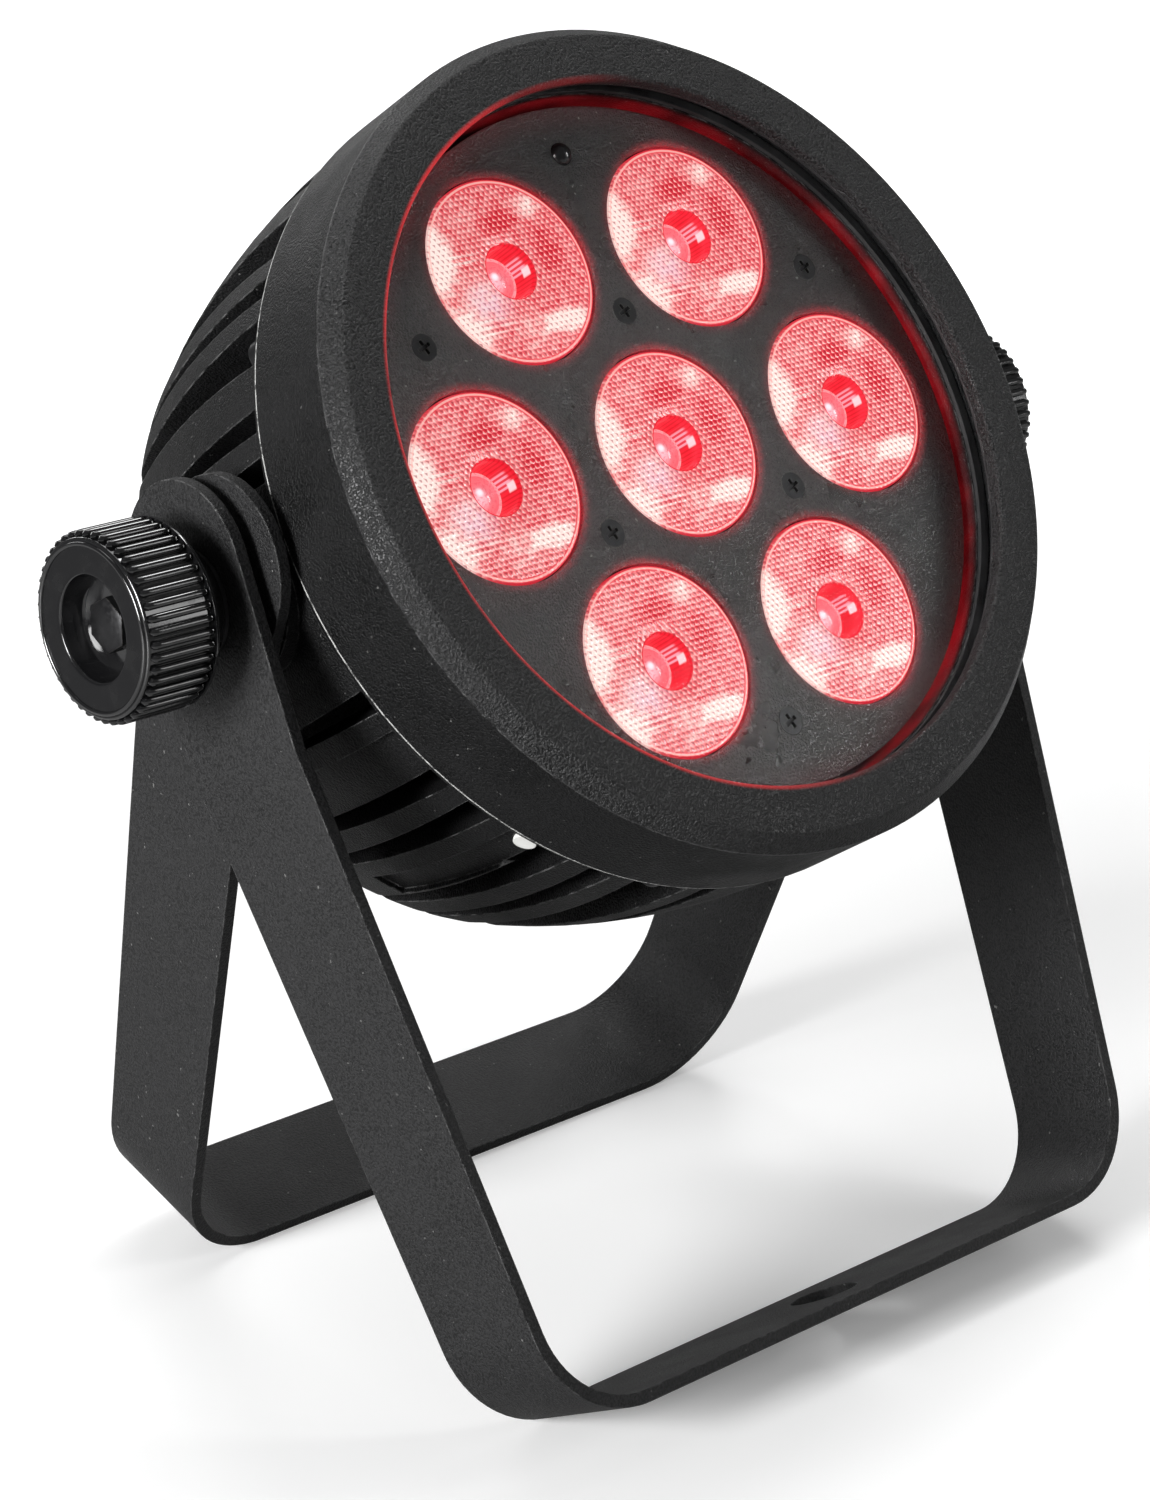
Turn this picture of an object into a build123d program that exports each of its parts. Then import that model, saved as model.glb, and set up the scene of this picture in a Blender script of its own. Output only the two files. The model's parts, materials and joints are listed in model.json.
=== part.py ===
from build123d import *
import os
from math import cos, radians, sin, sqrt, tan

# Flat LED par can light. Millimetres and degrees, +Z up, the lens side faces -Y, the pivot axis along X.
# The head has its own frame: X the pivot axis, Y its up direction, Z its lens axis, with the pivot at 0.
# Each yoke is modelled with the pivot at 0 and its legs hanging along -Z.

# ---- driving dimensions ----

# Rest pose
head_tilt = 32.5            # lens axis above the horizontal
front_lean = 26.0           # outer yoke, forward of the vertical
rear_lean = 18.56           # inner yoke, behind the vertical

# Fits
static_fit = 0.05           # radial, between round seats that stay put
running_fit = 0.08          # radial, between round seats that turn or slide
face_gap = 0.1              # between flat faces that turn on each other
slip_fit = 0.3              # radial, between loosely placed rings and their pockets

# Drum: heights are along the lens axis, from the pivot
drum_radius = 87.5
seam_height = 42.6          # bezel to housing
band_back = 20.0
lip_slope = 2.0
lip_step = 0.9
back_depth = 63.0
flat_back_radius = 50.8
corner_inset = 9.4          # drum's side to the back corner's
corner_angle = 15.0         # slope of the side where the back corner starts
side_bulge = 2.4

# Cooling slots: angle from the head's top and width, the same on both sides
slots = [(12.0, 3.2), (20.7, 9.0), (30.3, 3.8), (43.0, 8.2), (52.0, 3.3)]
slots += [(60.3, 6.5), (71.4, 3.1), (78.0, 3.3), (110.5, 3.3), (123.8, 2.9)]
slots += [(130.3, 3.8), (142.3, 4.3), (149.7, 3.8), (159.3, 9.0), (168.0, 3.2)]
slot_depth_front = 11.5
slot_depth_back = 13.0
slot_floor_break = 35.0     # behind the pivot
slot_end_reach = 18.0       # outside the flat back
slot_end_depth = 57.0
slot_taper = 0.4            # width at the rear end over width at the lip
panels = [(118.9, 7.3), (137.8, 4.9)]
panel_dip = 1.2

# Housing inside
chamber_depth = 17.2        # behind the lens plate's face
bulkhead_thickness = 7.0
cavity_wall = 3.5           # under the slots' floors
back_wall = 6.0
post_radius = 3.6

# Bezel, glass and seals
rim_wall = 10.0             # glass to the drum's side
bezel_rise = 4.6            # above the seam
bezel_lap = 2.8             # over the glass
bezel_slope = 2.9
bezel_edge = 0.25
glass_thickness = 4.0
glass_rise = 0.9            # above the seam
glass_ledge = 2.3
gasket_thickness = 0.8
seal_thickness = 1.0
bezel_screw_inset = 5.2
bezel_screw_radius = 2.0
bezel_screw_head = 3.5
bezel_screw_bite = 3.4
bezel_screw_angles = (20.7, 60.3, 159.3)

# Lens plate
plate_drop = 2.3            # below the glass ledge
plate_thickness = 1.5
plate_gap = 1.7
plate_margin = 5.4          # outer lens holes to the plate's edge
inner_screw_shift = 1.1     # outward from the middle of three lenses
outer_screw_inset = 13.5
plate_screw_radius = 1.5
plate_screw_head = 3.0
plate_screw_length = 12.0
cross_width = 0.8
cross_span = 3.2
cross_depth = 0.8
sensor_inset = 10.0
sensor_radius = 2.5
sensor_rise = 1.7

# Lenses
lens_web = 7.8              # between neighbouring lens holes
lens_drop = 0.2             # lens face below the plate's face
lens_rim = 1.6
lens_base_radius = 7.0
lens_base_height = 1.8         # above the carrier's plate
lens_bulge = 1.5
well_radius = 6.0
well_depth = 6.2
lens_recess_radius = 4.6
lens_recess_depth = 3.4
cup_gap = 0.4
cup_wall = 1.2
cup_top_drop = 4.0          # cup rim below the lens rim

# Boards behind the lenses
board_thickness = 1.6
board_gap = 2.2
carrier_thickness = 1.6
emitter_size = 5.6
emitter_height = 0.9
emitter_dome = 2.3
board_screw_inset = 7.0
screw_radius = 1.5          # M3
screw_head_radius = 2.7
screw_head_height = 1.8
screw_bite = 5.0
driver_standoff = 6.0
driver_width = 100.0
driver_depth = 70.0
pillar_length = 26.0
pillar_radius = 3.2
pillar_inset = 6.0
supply_width = 92.0
supply_depth = 60.0

# Rear panel, seen along the lens axis
panel_radius = 43.5
panel_thickness = 2.0
panel_recess = 2.5
panel_gasket = 0.8
panel_ledge = 5.0
panel_screw_count = 8
window_width = 26.0
window_height = 10.0
window_place = 22.5
window_flange = 1.5
flange_thickness = 0.8
display_width = 39.0
display_low = 6.0
display_high = 32.5
display_gap = 9.3           # panel to display board
display_pillars = ((17.0, 29.0), (12.0, 8.0))
display_pillar_radius = 2.0
display_screw_radius = 1.0
button_radius = 2.8
button_pitch = 12.0
button_place = 11.0
button_rise = 1.2
button_flange = 1.0
button_stem_radius = 1.4
button_stem = 4.2
button_travel = 0.8
switch_size = 5.0

# Sockets on the rear panel
socket_circle = 26.0
socket_angles = (-81.0, -27.0, 27.0, 81.0)      # from the head's bottom
socket_body = 10.4
socket_bore = 9.3
socket_flange = 11.7
socket_flange_thickness = 1.8
socket_depth = 14.0
socket_length = 19.0
socket_nut = 11.6
socket_nut_thickness = 3.0
pin_radius = 1.2
pin_length = 9.0
pin_seat = 2.0
pin_circle = 4.7
power_core = 6.0
signal_core = 7.6
core_length = 10.0

# Safety eye
eye_wire = 2.0
eye_half_width = 8.0
eye_place = 46.6
eye_straight = 7.0
eye_collar = 3.6
eye_collar_thickness = 1.2
eye_tail = 11.0
eye_nut_radius = 3.6
eye_nut_thickness = 3.2

# Breather vent
vent_angle = 138.5          # from the head's top, on the -X side
vent_height = 15.7
vent_radius = 2.3
vent_rise = 0.7
vent_length = 8.0

# Pivot stack, outward along X
boss_radius = 17.0
boss_rise = 1.1             # beyond the drum's side
boss_root = 2.0
insert_radius = 6.5
insert_length = 15.0
boss_washer_radius = 15.0
boss_washer_thickness = 1.4
sheet = 2.5
spacer_radius = 13.0
spacer_thickness = 2.6
knob_washer_radius = 11.0
knob_washer_thickness = 1.1
stud_radius = 4.0           # M8
stud_bite = 12.6            # in the boss
stud_in_knob = 12.0

# Knob
hub_radius = 12.0
hub_length = 6.5
knob_radius = 18.7
knob_back_radius = 18.4
knob_length = 16.2
knob_edge = 1.3
knob_back_rim = 1.2
groove_count = 45
groove_radius = 0.85
groove_depth = 0.75
lip_radius = 16.4
lip_width = 0.6
lip_rise = 0.4
recess_radius = 10.2
recess_depth = 5.5
recess_rim = 0.8

# Yokes
yoke_width = 35.5           # at the pivot
yoke_bar_width = 28.5
front_length = 171.0        # pivot to the bar's outer face
front_kink = 32.6
front_kink_angle = 6.7
front_corner = 22.5
front_end_rise = 6.3
rear_kink = 31.8
rear_kink_angle = 6.6
rear_corner = 23.5
rear_end_rise = 7.1
rear_bar_width = 28.0
mount_hole_radius = 7.15

# ---- derived sizes ----

# Radii of the drum, from outside in
bowl_radius = drum_radius - lip_step
corner_radius = drum_radius - flat_back_radius - corner_inset
slot_floor_front = drum_radius - slot_depth_front
slot_floor_back = drum_radius - slot_depth_back
slot_end_radius = flat_back_radius + slot_end_reach
cavity_radius = slot_floor_back - cavity_wall
glass_radius = drum_radius - rim_wall
glass_pocket = glass_radius + slip_fit
chamber_radius = glass_radius - glass_ledge
bezel_opening = glass_radius - bezel_lap
bezel_face_radius = drum_radius - bezel_slope
bezel_screw_circle = drum_radius - bezel_screw_inset
plate_radius = chamber_radius - plate_gap
board_radius = chamber_radius - board_gap
board_screw_circle = board_radius - board_screw_inset
outer_screw_circle = plate_radius - outer_screw_inset
sensor_place = plate_radius - sensor_inset

# Seven equal lenses in a hexagon fill the plate: three holes and one web from its middle to its margin
lens_hole = (plate_radius - plate_margin - lens_web) / 3
lens_radius = lens_hole - slip_fit
lens_pitch = 2 * lens_hole + lens_web
inner_screw_circle = lens_pitch / sqrt(3) + inner_screw_shift

# Heights along the lens axis, from the seam back
bezel_height = seam_height + bezel_rise
glass_front = seam_height + glass_rise
glass_back = glass_front - glass_thickness
ledge_height = glass_back - seal_thickness
plate_front = ledge_height - plate_drop
plate_back = plate_front - plate_thickness
lens_face = plate_front - lens_drop
lens_rim_low = lens_face - lens_rim
bulkhead_front = plate_front - chamber_depth
bulkhead_back = bulkhead_front - bulkhead_thickness
board_face = bulkhead_front + board_thickness
board_back = bulkhead_back - driver_standoff - board_thickness
supply_face = board_back - pillar_length
lip_back = band_back - lip_slope
bezel_screw_seat = lip_back
bezel_screw_length = seam_height - bezel_screw_seat + bezel_screw_bite

# Back wall and rear panel
corner_centre = corner_radius - back_depth
back_inner = back_wall - back_depth
opening_radius = panel_radius + slip_fit - panel_ledge
panel_seat = panel_recess - back_depth
panel_inner = panel_seat - panel_gasket
panel_outer = panel_inner - panel_thickness
panel_screw_circle = panel_radius - panel_ledge / 2
display_face = panel_inner + display_gap
socket_face = panel_outer - socket_flange_thickness
socket_floor = socket_face + socket_depth

# Pivot stack
boss_face = drum_radius + boss_rise
boss_inner = cavity_radius - boss_root
stud_end = boss_face - stud_bite
stud_hole = stud_radius + running_fit
rear_inner = boss_face + boss_washer_thickness + face_gap
rear_outer = rear_inner + sheet
front_inner = rear_outer + face_gap + spacer_thickness
front_outer = front_inner + sheet
knob_washer_inner = front_outer + face_gap
hub_inner = knob_washer_inner + knob_washer_thickness + face_gap
knob_back = hub_inner + hub_length
knob_face = knob_back + knob_length

pivot_height = front_length * cos(radians(front_lean)) + yoke_bar_width / 2 * sin(radians(front_lean))
rear_rise = pivot_height - rear_bar_width / 2 * sin(radians(rear_lean))
rear_length = rear_rise / cos(radians(rear_lean))


# ---- helpers ----

def disc(radius, low, high, x=0.0, y=0.0):
    """Cylinder along Z between two heights."""
    base = (Align.CENTER, Align.CENTER, Align.MIN)
    return Pos(x, y, low) * Cylinder(radius, high - low, align=base)


def ring(outer, inner, low, high, x=0.0, y=0.0):
    """Flat ring along Z between two heights."""
    return disc(outer, low, high, x, y) - disc(inner, low, high, x, y)


def discs(radius, low, high, places):
    """The same cylinder at several places."""
    return [disc(radius, low, high, x, y) for x, y in places]


def block(width, depth, low, high, x=0.0, y=0.0):
    """Box along Z between two heights."""
    base = (Align.CENTER, Align.CENTER, Align.MIN)
    return Pos(x, y, low) * Box(width, depth, high - low, align=base)


def turned(*points):
    """Solid of revolution about Z from its (radius, height) corners."""
    return revolve(make_face(Plane.XZ * Polyline(*points, close=True)), Axis.Z)


def around(radius, angle):
    """Point on a circle, with the angle in degrees from +X."""
    return radius * cos(radians(angle)), radius * sin(radians(angle))


def from_top(radius, angle):
    """Point on a circle, with the angle in degrees from the head's top towards -X."""
    return around(radius, 90 + angle)


def corner_point(radius, angle):
    """Point on the rounded back corner, a given slope in from the side."""
    x = flat_back_radius + radius * cos(radians(angle))
    return x, corner_centre - radius * sin(radians(angle))


def plate_screw_places():
    """Three screws on the inner circle and three on the outer one."""
    inner = [around(inner_screw_circle, angle) for angle in (90, 210, 330)]
    return inner + [around(outer_screw_circle, angle) for angle in (30, 150, 270)]


def lens_places():
    """The centre and six places around it."""
    return [(0.0, 0.0)] + [around(lens_pitch, 60 * index) for index in range(6)]


def board_screw_places():
    return [around(board_screw_circle, angle) for angle in (90, 210, 330)]


def bezel_screw_places():
    angles = [side * angle for angle in bezel_screw_angles for side in (1, -1)]
    return [from_top(bezel_screw_circle, angle) for angle in angles]


def circuit_places():
    """The four corners that the driver board and the power supply board share."""
    x = supply_width / 2 - pillar_inset
    y = supply_depth / 2 - pillar_inset
    return [(sx * x, sy * y) for sx in (1, -1) for sy in (1, -1)]


def panel_screw_places():
    step = 360 / panel_screw_count
    return [around(panel_screw_circle, step * (index + 0.5)) for index in range(panel_screw_count)]


def display_places():
    return [(side * x, y) for x, y in display_pillars for side in (1, -1)]


def button_places():
    return [((index - 1.5) * button_pitch, button_place) for index in range(4)]


def socket_places():
    return [around(socket_circle, angle - 90) for angle in socket_angles]


def cap_screw(radius, head_radius, head_height, length):
    """Screw with its head below z = 0 and its shank rising to the given length."""
    body = disc(head_radius, -head_height, 0) + disc(radius, -head_height / 2, length)
    socket = extrude(RegularPolygon(radius * 0.85, 6), head_height * 0.55)
    return body - Pos(0, 0, -head_height) * socket


# ---- head: front pieces ----

def make_front_bezel():
    """Ring with a bevelled outer edge, a flange over the glass and blind holes for its screws."""
    gasket_top = glass_front + gasket_thickness
    bezel = turned(
        (bezel_opening, gasket_top),
        (bezel_opening, bezel_height),
        (bezel_face_radius, bezel_height),
        (drum_radius, seam_height + bezel_edge),
        (drum_radius, seam_height),
        (glass_pocket, seam_height),
        (glass_pocket, gasket_top),
    )
    bore_end = seam_height + bezel_screw_bite
    bezel -= discs(bezel_screw_radius + static_fit, seam_height, bore_end, bezel_screw_places())
    return bezel


def make_bezel_gasket():
    return ring(glass_radius, bezel_opening + slip_fit, glass_front, glass_front + gasket_thickness)


def make_front_glass():
    return disc(glass_radius, glass_back, glass_front)


def make_glass_seal():
    return ring(glass_radius, chamber_radius + slip_fit, ledge_height, glass_back)


def make_bezel_screws():
    screw = cap_screw(bezel_screw_radius, bezel_screw_head, 2 * bezel_screw_radius, bezel_screw_length)
    return [Pos(x, y, bezel_screw_seat) * screw for x, y in bezel_screw_places()]


def make_lens_plate():
    """Plate with seven lens holes, six countersunk holes and the sensor's hole."""
    plate = disc(plate_radius, plate_back, plate_front)
    plate -= discs(lens_hole, plate_back, plate_front, lens_places())
    countersink = plate_screw_head - plate_screw_radius
    for x, y in plate_screw_places():
        cone = Cone(plate_screw_radius + static_fit, plate_screw_head + static_fit, countersink)
        plate -= Pos(x, y, plate_front - countersink / 2) * cone
        plate -= disc(plate_screw_radius + static_fit, plate_back, plate_front, x, y)
    plate -= disc(sensor_radius + static_fit, plate_back, plate_front, 0, sensor_place)
    return plate


def make_plate_screws():
    """Countersunk screws with a cross recess."""
    countersink = plate_screw_head - plate_screw_radius
    screw = Pos(0, 0, -countersink / 2) * Cone(plate_screw_radius, plate_screw_head, countersink)
    screw += disc(plate_screw_radius, -plate_screw_length, -countersink / 2)
    for turn in (0, 90):
        bar = Box(cross_span, cross_width, 2 * cross_depth)
        screw -= Rot(0, 0, turn + 20) * bar
    return [Pos(x, y, plate_front) * screw for x, y in plate_screw_places()]


def make_sensor_window():
    """Small dome with a flange behind the plate."""
    ball_radius = (sensor_radius ** 2 + sensor_rise ** 2) / (2 * sensor_rise)
    ball = Pos(0, 0, plate_front + sensor_rise - ball_radius) * Sphere(ball_radius)
    dome = ball & disc(sensor_radius, plate_front, plate_front + 2 * sensor_rise)
    flange = disc(sensor_radius + 1, plate_back - 1, plate_back)
    return Pos(0, sensor_place, 0) * (dome + disc(sensor_radius, plate_back - 0.5, plate_front) + flange)


def lens_side(shift):
    """Curved side of a lens, moved outward: start, middle and end of the arc."""
    low = (lens_base_radius + shift, board_face + lens_base_height)
    high = (lens_radius + shift, lens_rim_low)
    middle = ((low[0] + high[0]) / 2 + lens_bulge, (low[1] + high[1]) / 2 - lens_bulge)
    return low, middle, high


def make_lens():
    """Collimator: a bell with a well in its face and a recess for the emitter."""
    low, middle, high = lens_side(0)
    well_floor = lens_face - well_depth
    recess_top = board_face + lens_recess_depth
    outline = Line(high, (lens_radius, lens_face))
    outline += Line((lens_radius, lens_face), (well_radius, lens_face))
    outline += Line((well_radius, lens_face), (well_radius, well_floor))
    outline += Line((well_radius, well_floor), (0, well_floor))
    outline += Line((0, well_floor), (0, recess_top))
    outline += Line((0, recess_top), (lens_recess_radius, recess_top))
    outline += Line((lens_recess_radius, recess_top), (lens_recess_radius, board_face))
    outline += Line((lens_recess_radius, board_face), (lens_base_radius, board_face))
    outline += Line((lens_base_radius, board_face), low)
    outline += ThreePointArc(low, middle, high)
    return revolve(make_face(Plane.XZ * outline), Axis.Z)


def make_lens_carrier():
    """Moulded plate with a cup around the lower part of each lens."""
    top = board_face + carrier_thickness
    plate = disc(board_radius - slip_fit, board_face, top)
    inside = lens_side(cup_gap)
    outside = lens_side(cup_gap + cup_wall)
    shape = Line((inside[0][0], board_face), inside[0])
    shape += ThreePointArc(*inside)
    shape += Line(inside[2], outside[2])
    shape += ThreePointArc(*reversed(outside))
    shape += Line(outside[0], (outside[0][0], board_face))
    shape += Line((outside[0][0], board_face), (inside[0][0], board_face))
    cup = revolve(make_face(Plane.XZ * shape), Axis.Z)
    cup &= disc(lens_radius + cup_wall + 1, board_face, lens_rim_low - cup_top_drop)
    core = disc(lens_base_radius + cup_gap, board_face, top)
    places = lens_places()
    plate -= [Pos(x, y, 0) * core for x, y in places]
    plate += [Pos(x, y, 0) * cup for x, y in places]
    plate -= discs(post_radius + slip_fit, board_face, top, plate_screw_places())
    plate -= discs(screw_radius + static_fit, board_face, top, board_screw_places())
    return plate


def make_led_board():
    board = disc(board_radius, bulkhead_front, board_face)
    board -= discs(post_radius + slip_fit, bulkhead_front, board_face, plate_screw_places())
    board -= discs(screw_radius + static_fit, bulkhead_front, board_face, board_screw_places())
    return board


def make_led_emitters():
    """A square package with a dome under each lens."""
    dome = Sphere(emitter_dome) & disc(emitter_dome + 1, 0, emitter_dome)
    package = block(emitter_size, emitter_size, 0, emitter_height) + Pos(0, 0, emitter_height) * dome
    return [Pos(x, y, board_face) * package for x, y in lens_places()]


def make_board_screws():
    """Three screws through the lens carrier and the LED board into the bulkhead."""
    length = carrier_thickness + board_thickness + screw_bite
    screw = Rot(180, 0, 0) * cap_screw(screw_radius, screw_head_radius, screw_head_height, length)
    top = board_face + carrier_thickness
    return [Pos(x, y, top) * screw for x, y in board_screw_places()]


# ---- head: housing ----

def bowl_outline(inset):
    """Half section of the drum, drawn a little inside its real surface."""
    side = corner_point(corner_radius - inset, corner_angle)
    back = corner_point(corner_radius - inset, 90)
    middle = corner_point(corner_radius - inset, (corner_angle + 90) / 2)
    shape = Line((0, seam_height), (drum_radius - inset, seam_height))
    shape += Line((drum_radius - inset, seam_height), (drum_radius - inset, band_back))
    shape += Line((drum_radius - inset, band_back), (bowl_radius - inset, lip_back))
    shape += SagittaArc((bowl_radius - inset, lip_back), side, side_bulge)
    shape += ThreePointArc(side, middle, back)
    shape += Line(back, (0, back[1]))
    shape += Line((0, back[1]), (0, seam_height))
    return make_face(Plane.XZ * shape)


def slot_prism(angle, width, taper):
    """Radial prism for one slot: widest at the lip, narrow towards the back."""
    half = drum_radius * sin(radians(width / 2))
    radial = Plane(origin=(cavity_radius - 10, 0, 0), x_dir=(0, 1, 0), z_dir=(1, 0, 0))
    corners = [(-half, lip_back), (half, lip_back)]
    corners += [(half * taper, -slot_end_depth), (-half * taper, -slot_end_depth)]
    prism = extrude(radial * make_face(Polyline(*corners, close=True)), drum_radius - cavity_radius + 15)
    return Rot(0, 0, 90 + angle) * prism


def mirrored(pairs):
    """The same angles on both sides of the head."""
    return [(side * angle, width) for angle, width in pairs for side in (1, -1)]


def slot_region():
    """Everything outside the slots' floors."""
    return turned(
        (slot_floor_front, lip_back),
        (drum_radius + 5, lip_back),
        (drum_radius + 5, -slot_end_depth),
        (slot_end_radius, -slot_end_depth),
        (slot_floor_back, -slot_floor_break),
    )


def cavity():
    """Rear cavity: round inside the slots, and an even wall away from the rounded back corner."""
    inner_bowl = revolve(bowl_outline(back_wall), Axis.Z)
    return disc(cavity_radius, back_inner, bulkhead_back) & inner_bowl


def boss(side):
    """Round boss on the pivot axis."""
    length = boss_face - boss_inner
    return Pos(side * (boss_inner + length / 2), 0, 0) * Rot(0, 90, 0) * Cylinder(boss_radius, length)


def along_x(radius, low, high, side):
    """Cylinder on the pivot axis, on one side, between two distances from the middle."""
    length = high - low
    return Pos(side * (low + length / 2), 0, 0) * Rot(0, 90, 0) * Cylinder(radius, length)


def make_housing():
    """Cast drum: band, slotted bowl, bulkhead, two bosses, posts and the rear opening."""
    housing = revolve(bowl_outline(0), Axis.Z)
    region = slot_region()
    cutters = [slot_prism(angle, width, slot_taper) & region for angle, width in mirrored(slots)]
    housing -= cutters
    shallow = turned((bowl_radius - 10, lip_back), (drum_radius + 5, lip_back),
                     (drum_radius + 5, -slot_floor_break), (bowl_radius - 20, -slot_floor_break))
    shallow -= revolve(bowl_outline(panel_dip), Axis.Z)
    housing -= [slot_prism(angle, width, 1.0) & shallow for angle, width in mirrored(panels)]
    housing += [boss(side) for side in (1, -1)]
    # hollows: glass pocket, lens chamber, rear cavity, panel opening and panel recess
    housing -= disc(glass_pocket, ledge_height, seam_height)
    housing -= disc(chamber_radius, bulkhead_front, ledge_height)
    inner = cavity()
    for side in (1, -1):
        inner -= boss(side)
    housing -= inner
    housing -= disc(opening_radius, -back_depth, back_inner)
    housing -= disc(panel_radius + slip_fit, -back_depth, panel_seat)
    # posts for the plate screws, standoffs for the driver board
    bore_low = plate_front - plate_screw_length - 1
    for x, y in plate_screw_places():
        housing += disc(post_radius, bulkhead_front, plate_back, x, y)
        housing -= disc(plate_screw_radius + static_fit, bore_low, plate_back, x, y)
    for x, y in circuit_places():
        housing += disc(pillar_radius, bulkhead_back - driver_standoff, bulkhead_back, x, y)
        depth = bulkhead_back - driver_standoff + screw_bite
        housing -= disc(screw_radius + static_fit, bulkhead_back - driver_standoff, depth, x, y)
    # screw holes
    bore_low = bulkhead_front - screw_bite
    housing -= discs(screw_radius + static_fit, bore_low, bulkhead_front, board_screw_places())
    housing -= discs(bezel_screw_radius + static_fit, bezel_screw_seat, seam_height, bezel_screw_places())
    housing -= discs(screw_radius + static_fit, panel_seat, back_inner, panel_screw_places())
    for side in (1, -1):
        housing -= disc(eye_wire + static_fit, -back_depth, back_inner, side * eye_half_width, eye_place)
        housing -= along_x(insert_radius + static_fit, boss_face - insert_length, boss_face, side)
    housing -= vent_solid(static_fit)
    return housing


def vent_solid(gap):
    """Stepped plug on a radial axis behind the lip, or its hole when a gap is given."""
    top = bowl_radius - panel_dip
    stem = along_x(vent_radius * 0.6 + gap, top - vent_length, top, 1)
    cap = along_x(vent_radius + gap, top - 1.0, top + vent_rise, 1)
    if gap:
        cap = along_x(vent_radius + gap, top - 1.0, drum_radius + 2, 1)
    return Rot(0, 0, 90 + vent_angle) * Pos(0, 0, vent_height) * (stem + cap)


def make_insert(side):
    """Threaded insert in a boss."""
    low = boss_face - insert_length
    return along_x(insert_radius, low, boss_face, side) - along_x(stud_hole, low, boss_face, side)


# ---- head: boards ----

def make_driver_board():
    """Board behind the bulkhead with a processor, connectors and coils."""
    face = board_back + board_thickness
    board = block(driver_width, driver_depth, board_back, face)
    board -= discs(screw_radius + static_fit, board_back, face, circuit_places())
    board += block(14, 14, board_back - 1.6, board_back, 0, 10)
    board += [disc(5, board_back - 8, board_back, 24 * side, -14) for side in (-1, 0, 1)]
    board += [block(12, 6, board_back - 7, board_back, 22 * side, 26) for side in (-1, 0, 1)]
    return board


def make_power_supply_board():
    """Board with a transformer, capacitors, a coil and terminals, towards the driver board."""
    low = supply_face - board_thickness
    board = block(supply_width, supply_depth, low, supply_face)
    board -= discs(screw_radius + static_fit, low, supply_face, circuit_places())
    tall = supply_face + pillar_length * 0.6
    board += block(28, 24, supply_face, tall, 4, 0)
    board += [disc(6, supply_face, tall, -22, 11 * side) for side in (-1, 1)]
    edge = supply_width / 2
    board += disc(5, supply_face, tall - 3, edge - 16, 8)
    board += block(10, 14, supply_face, supply_face + 9, edge - 13, -10)
    return board


def make_board_pillars():
    """Hexagonal pillars between the two boards, with a threaded stem into the housing's standoffs."""
    pillar = extrude(RegularPolygon(pillar_radius, 6), pillar_length)
    pillar -= disc(screw_radius + static_fit, 0, screw_bite)
    pillar += disc(screw_radius, pillar_length - 1, pillar_length + board_thickness + screw_bite - 0.5)
    return [Pos(x, y, supply_face) * pillar for x, y in circuit_places()]


def make_circuit_screws():
    """Screws that hold the power supply board on its pillars, from behind."""
    low = supply_face - board_thickness
    length = board_thickness + screw_bite - 0.5
    screw = cap_screw(screw_radius, screw_head_radius, screw_head_height, length)
    return [Pos(x, y, low) * screw for x, y in circuit_places()]


# ---- head: rear panel ----

def make_rear_panel():
    """Disc with holes for the display window, buttons and sockets, and pillars for the display board."""
    panel = disc(panel_radius, panel_outer, panel_inner)
    panel -= block(window_width + 2 * static_fit, window_height + 2 * static_fit,
                   panel_outer, panel_inner, 0, window_place)
    panel -= discs(screw_radius + static_fit, panel_outer, panel_inner, panel_screw_places())
    panel -= discs(button_radius + slip_fit / 2, panel_outer, panel_inner, button_places())
    panel -= discs(socket_body + static_fit, panel_outer, panel_inner, socket_places())
    for x, y in display_places():
        panel += disc(display_pillar_radius, panel_inner, display_face, x, y)
        panel -= disc(display_screw_radius + static_fit, display_face - screw_bite, display_face, x, y)
    return panel


def make_panel_gasket():
    gasket = ring(panel_radius, opening_radius, panel_inner, panel_seat)
    gasket -= discs(screw_radius + static_fit, panel_inner, panel_seat, panel_screw_places())
    return gasket


def make_panel_screws():
    length = panel_thickness + panel_gasket + back_wall - panel_recess - 0.2
    screw = cap_screw(screw_radius, screw_head_radius * 0.9, screw_head_height, length)
    return [Pos(x, y, panel_outer) * screw for x, y in panel_screw_places()]


def make_display_window():
    """Clear window flush with the panel, with a flange behind it."""
    window = block(window_width, window_height, panel_outer, panel_inner + 0.4, 0, window_place)
    width = window_width + 2 * window_flange
    height = window_height + 2 * window_flange
    return window + block(width, height, panel_inner, panel_inner + flange_thickness, 0, window_place)


def make_display_board():
    """Board with the display module and four switches."""
    height = display_high - display_low
    middle = (display_high + display_low) / 2
    board = block(display_width, height, display_face, display_face + board_thickness, 0, middle)
    back = display_face + board_thickness
    board -= discs(display_screw_radius + static_fit, display_face, back, display_places())
    window_back = panel_inner + flange_thickness
    board += block(window_width, window_height, window_back, display_face, 0, window_place)
    stem_end = panel_inner + face_gap + button_flange + button_stem
    for x, y in button_places():
        board += block(switch_size, switch_size, stem_end + button_travel + face_gap, display_face, x, y)
    return board


def make_display_screws():
    length = board_thickness + screw_bite - 0.5
    screw = Rot(180, 0, 0) * cap_screw(display_screw_radius, 2 * display_screw_radius, 1.2, length)
    return [Pos(x, y, display_face + board_thickness) * screw for x, y in display_places()]


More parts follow.
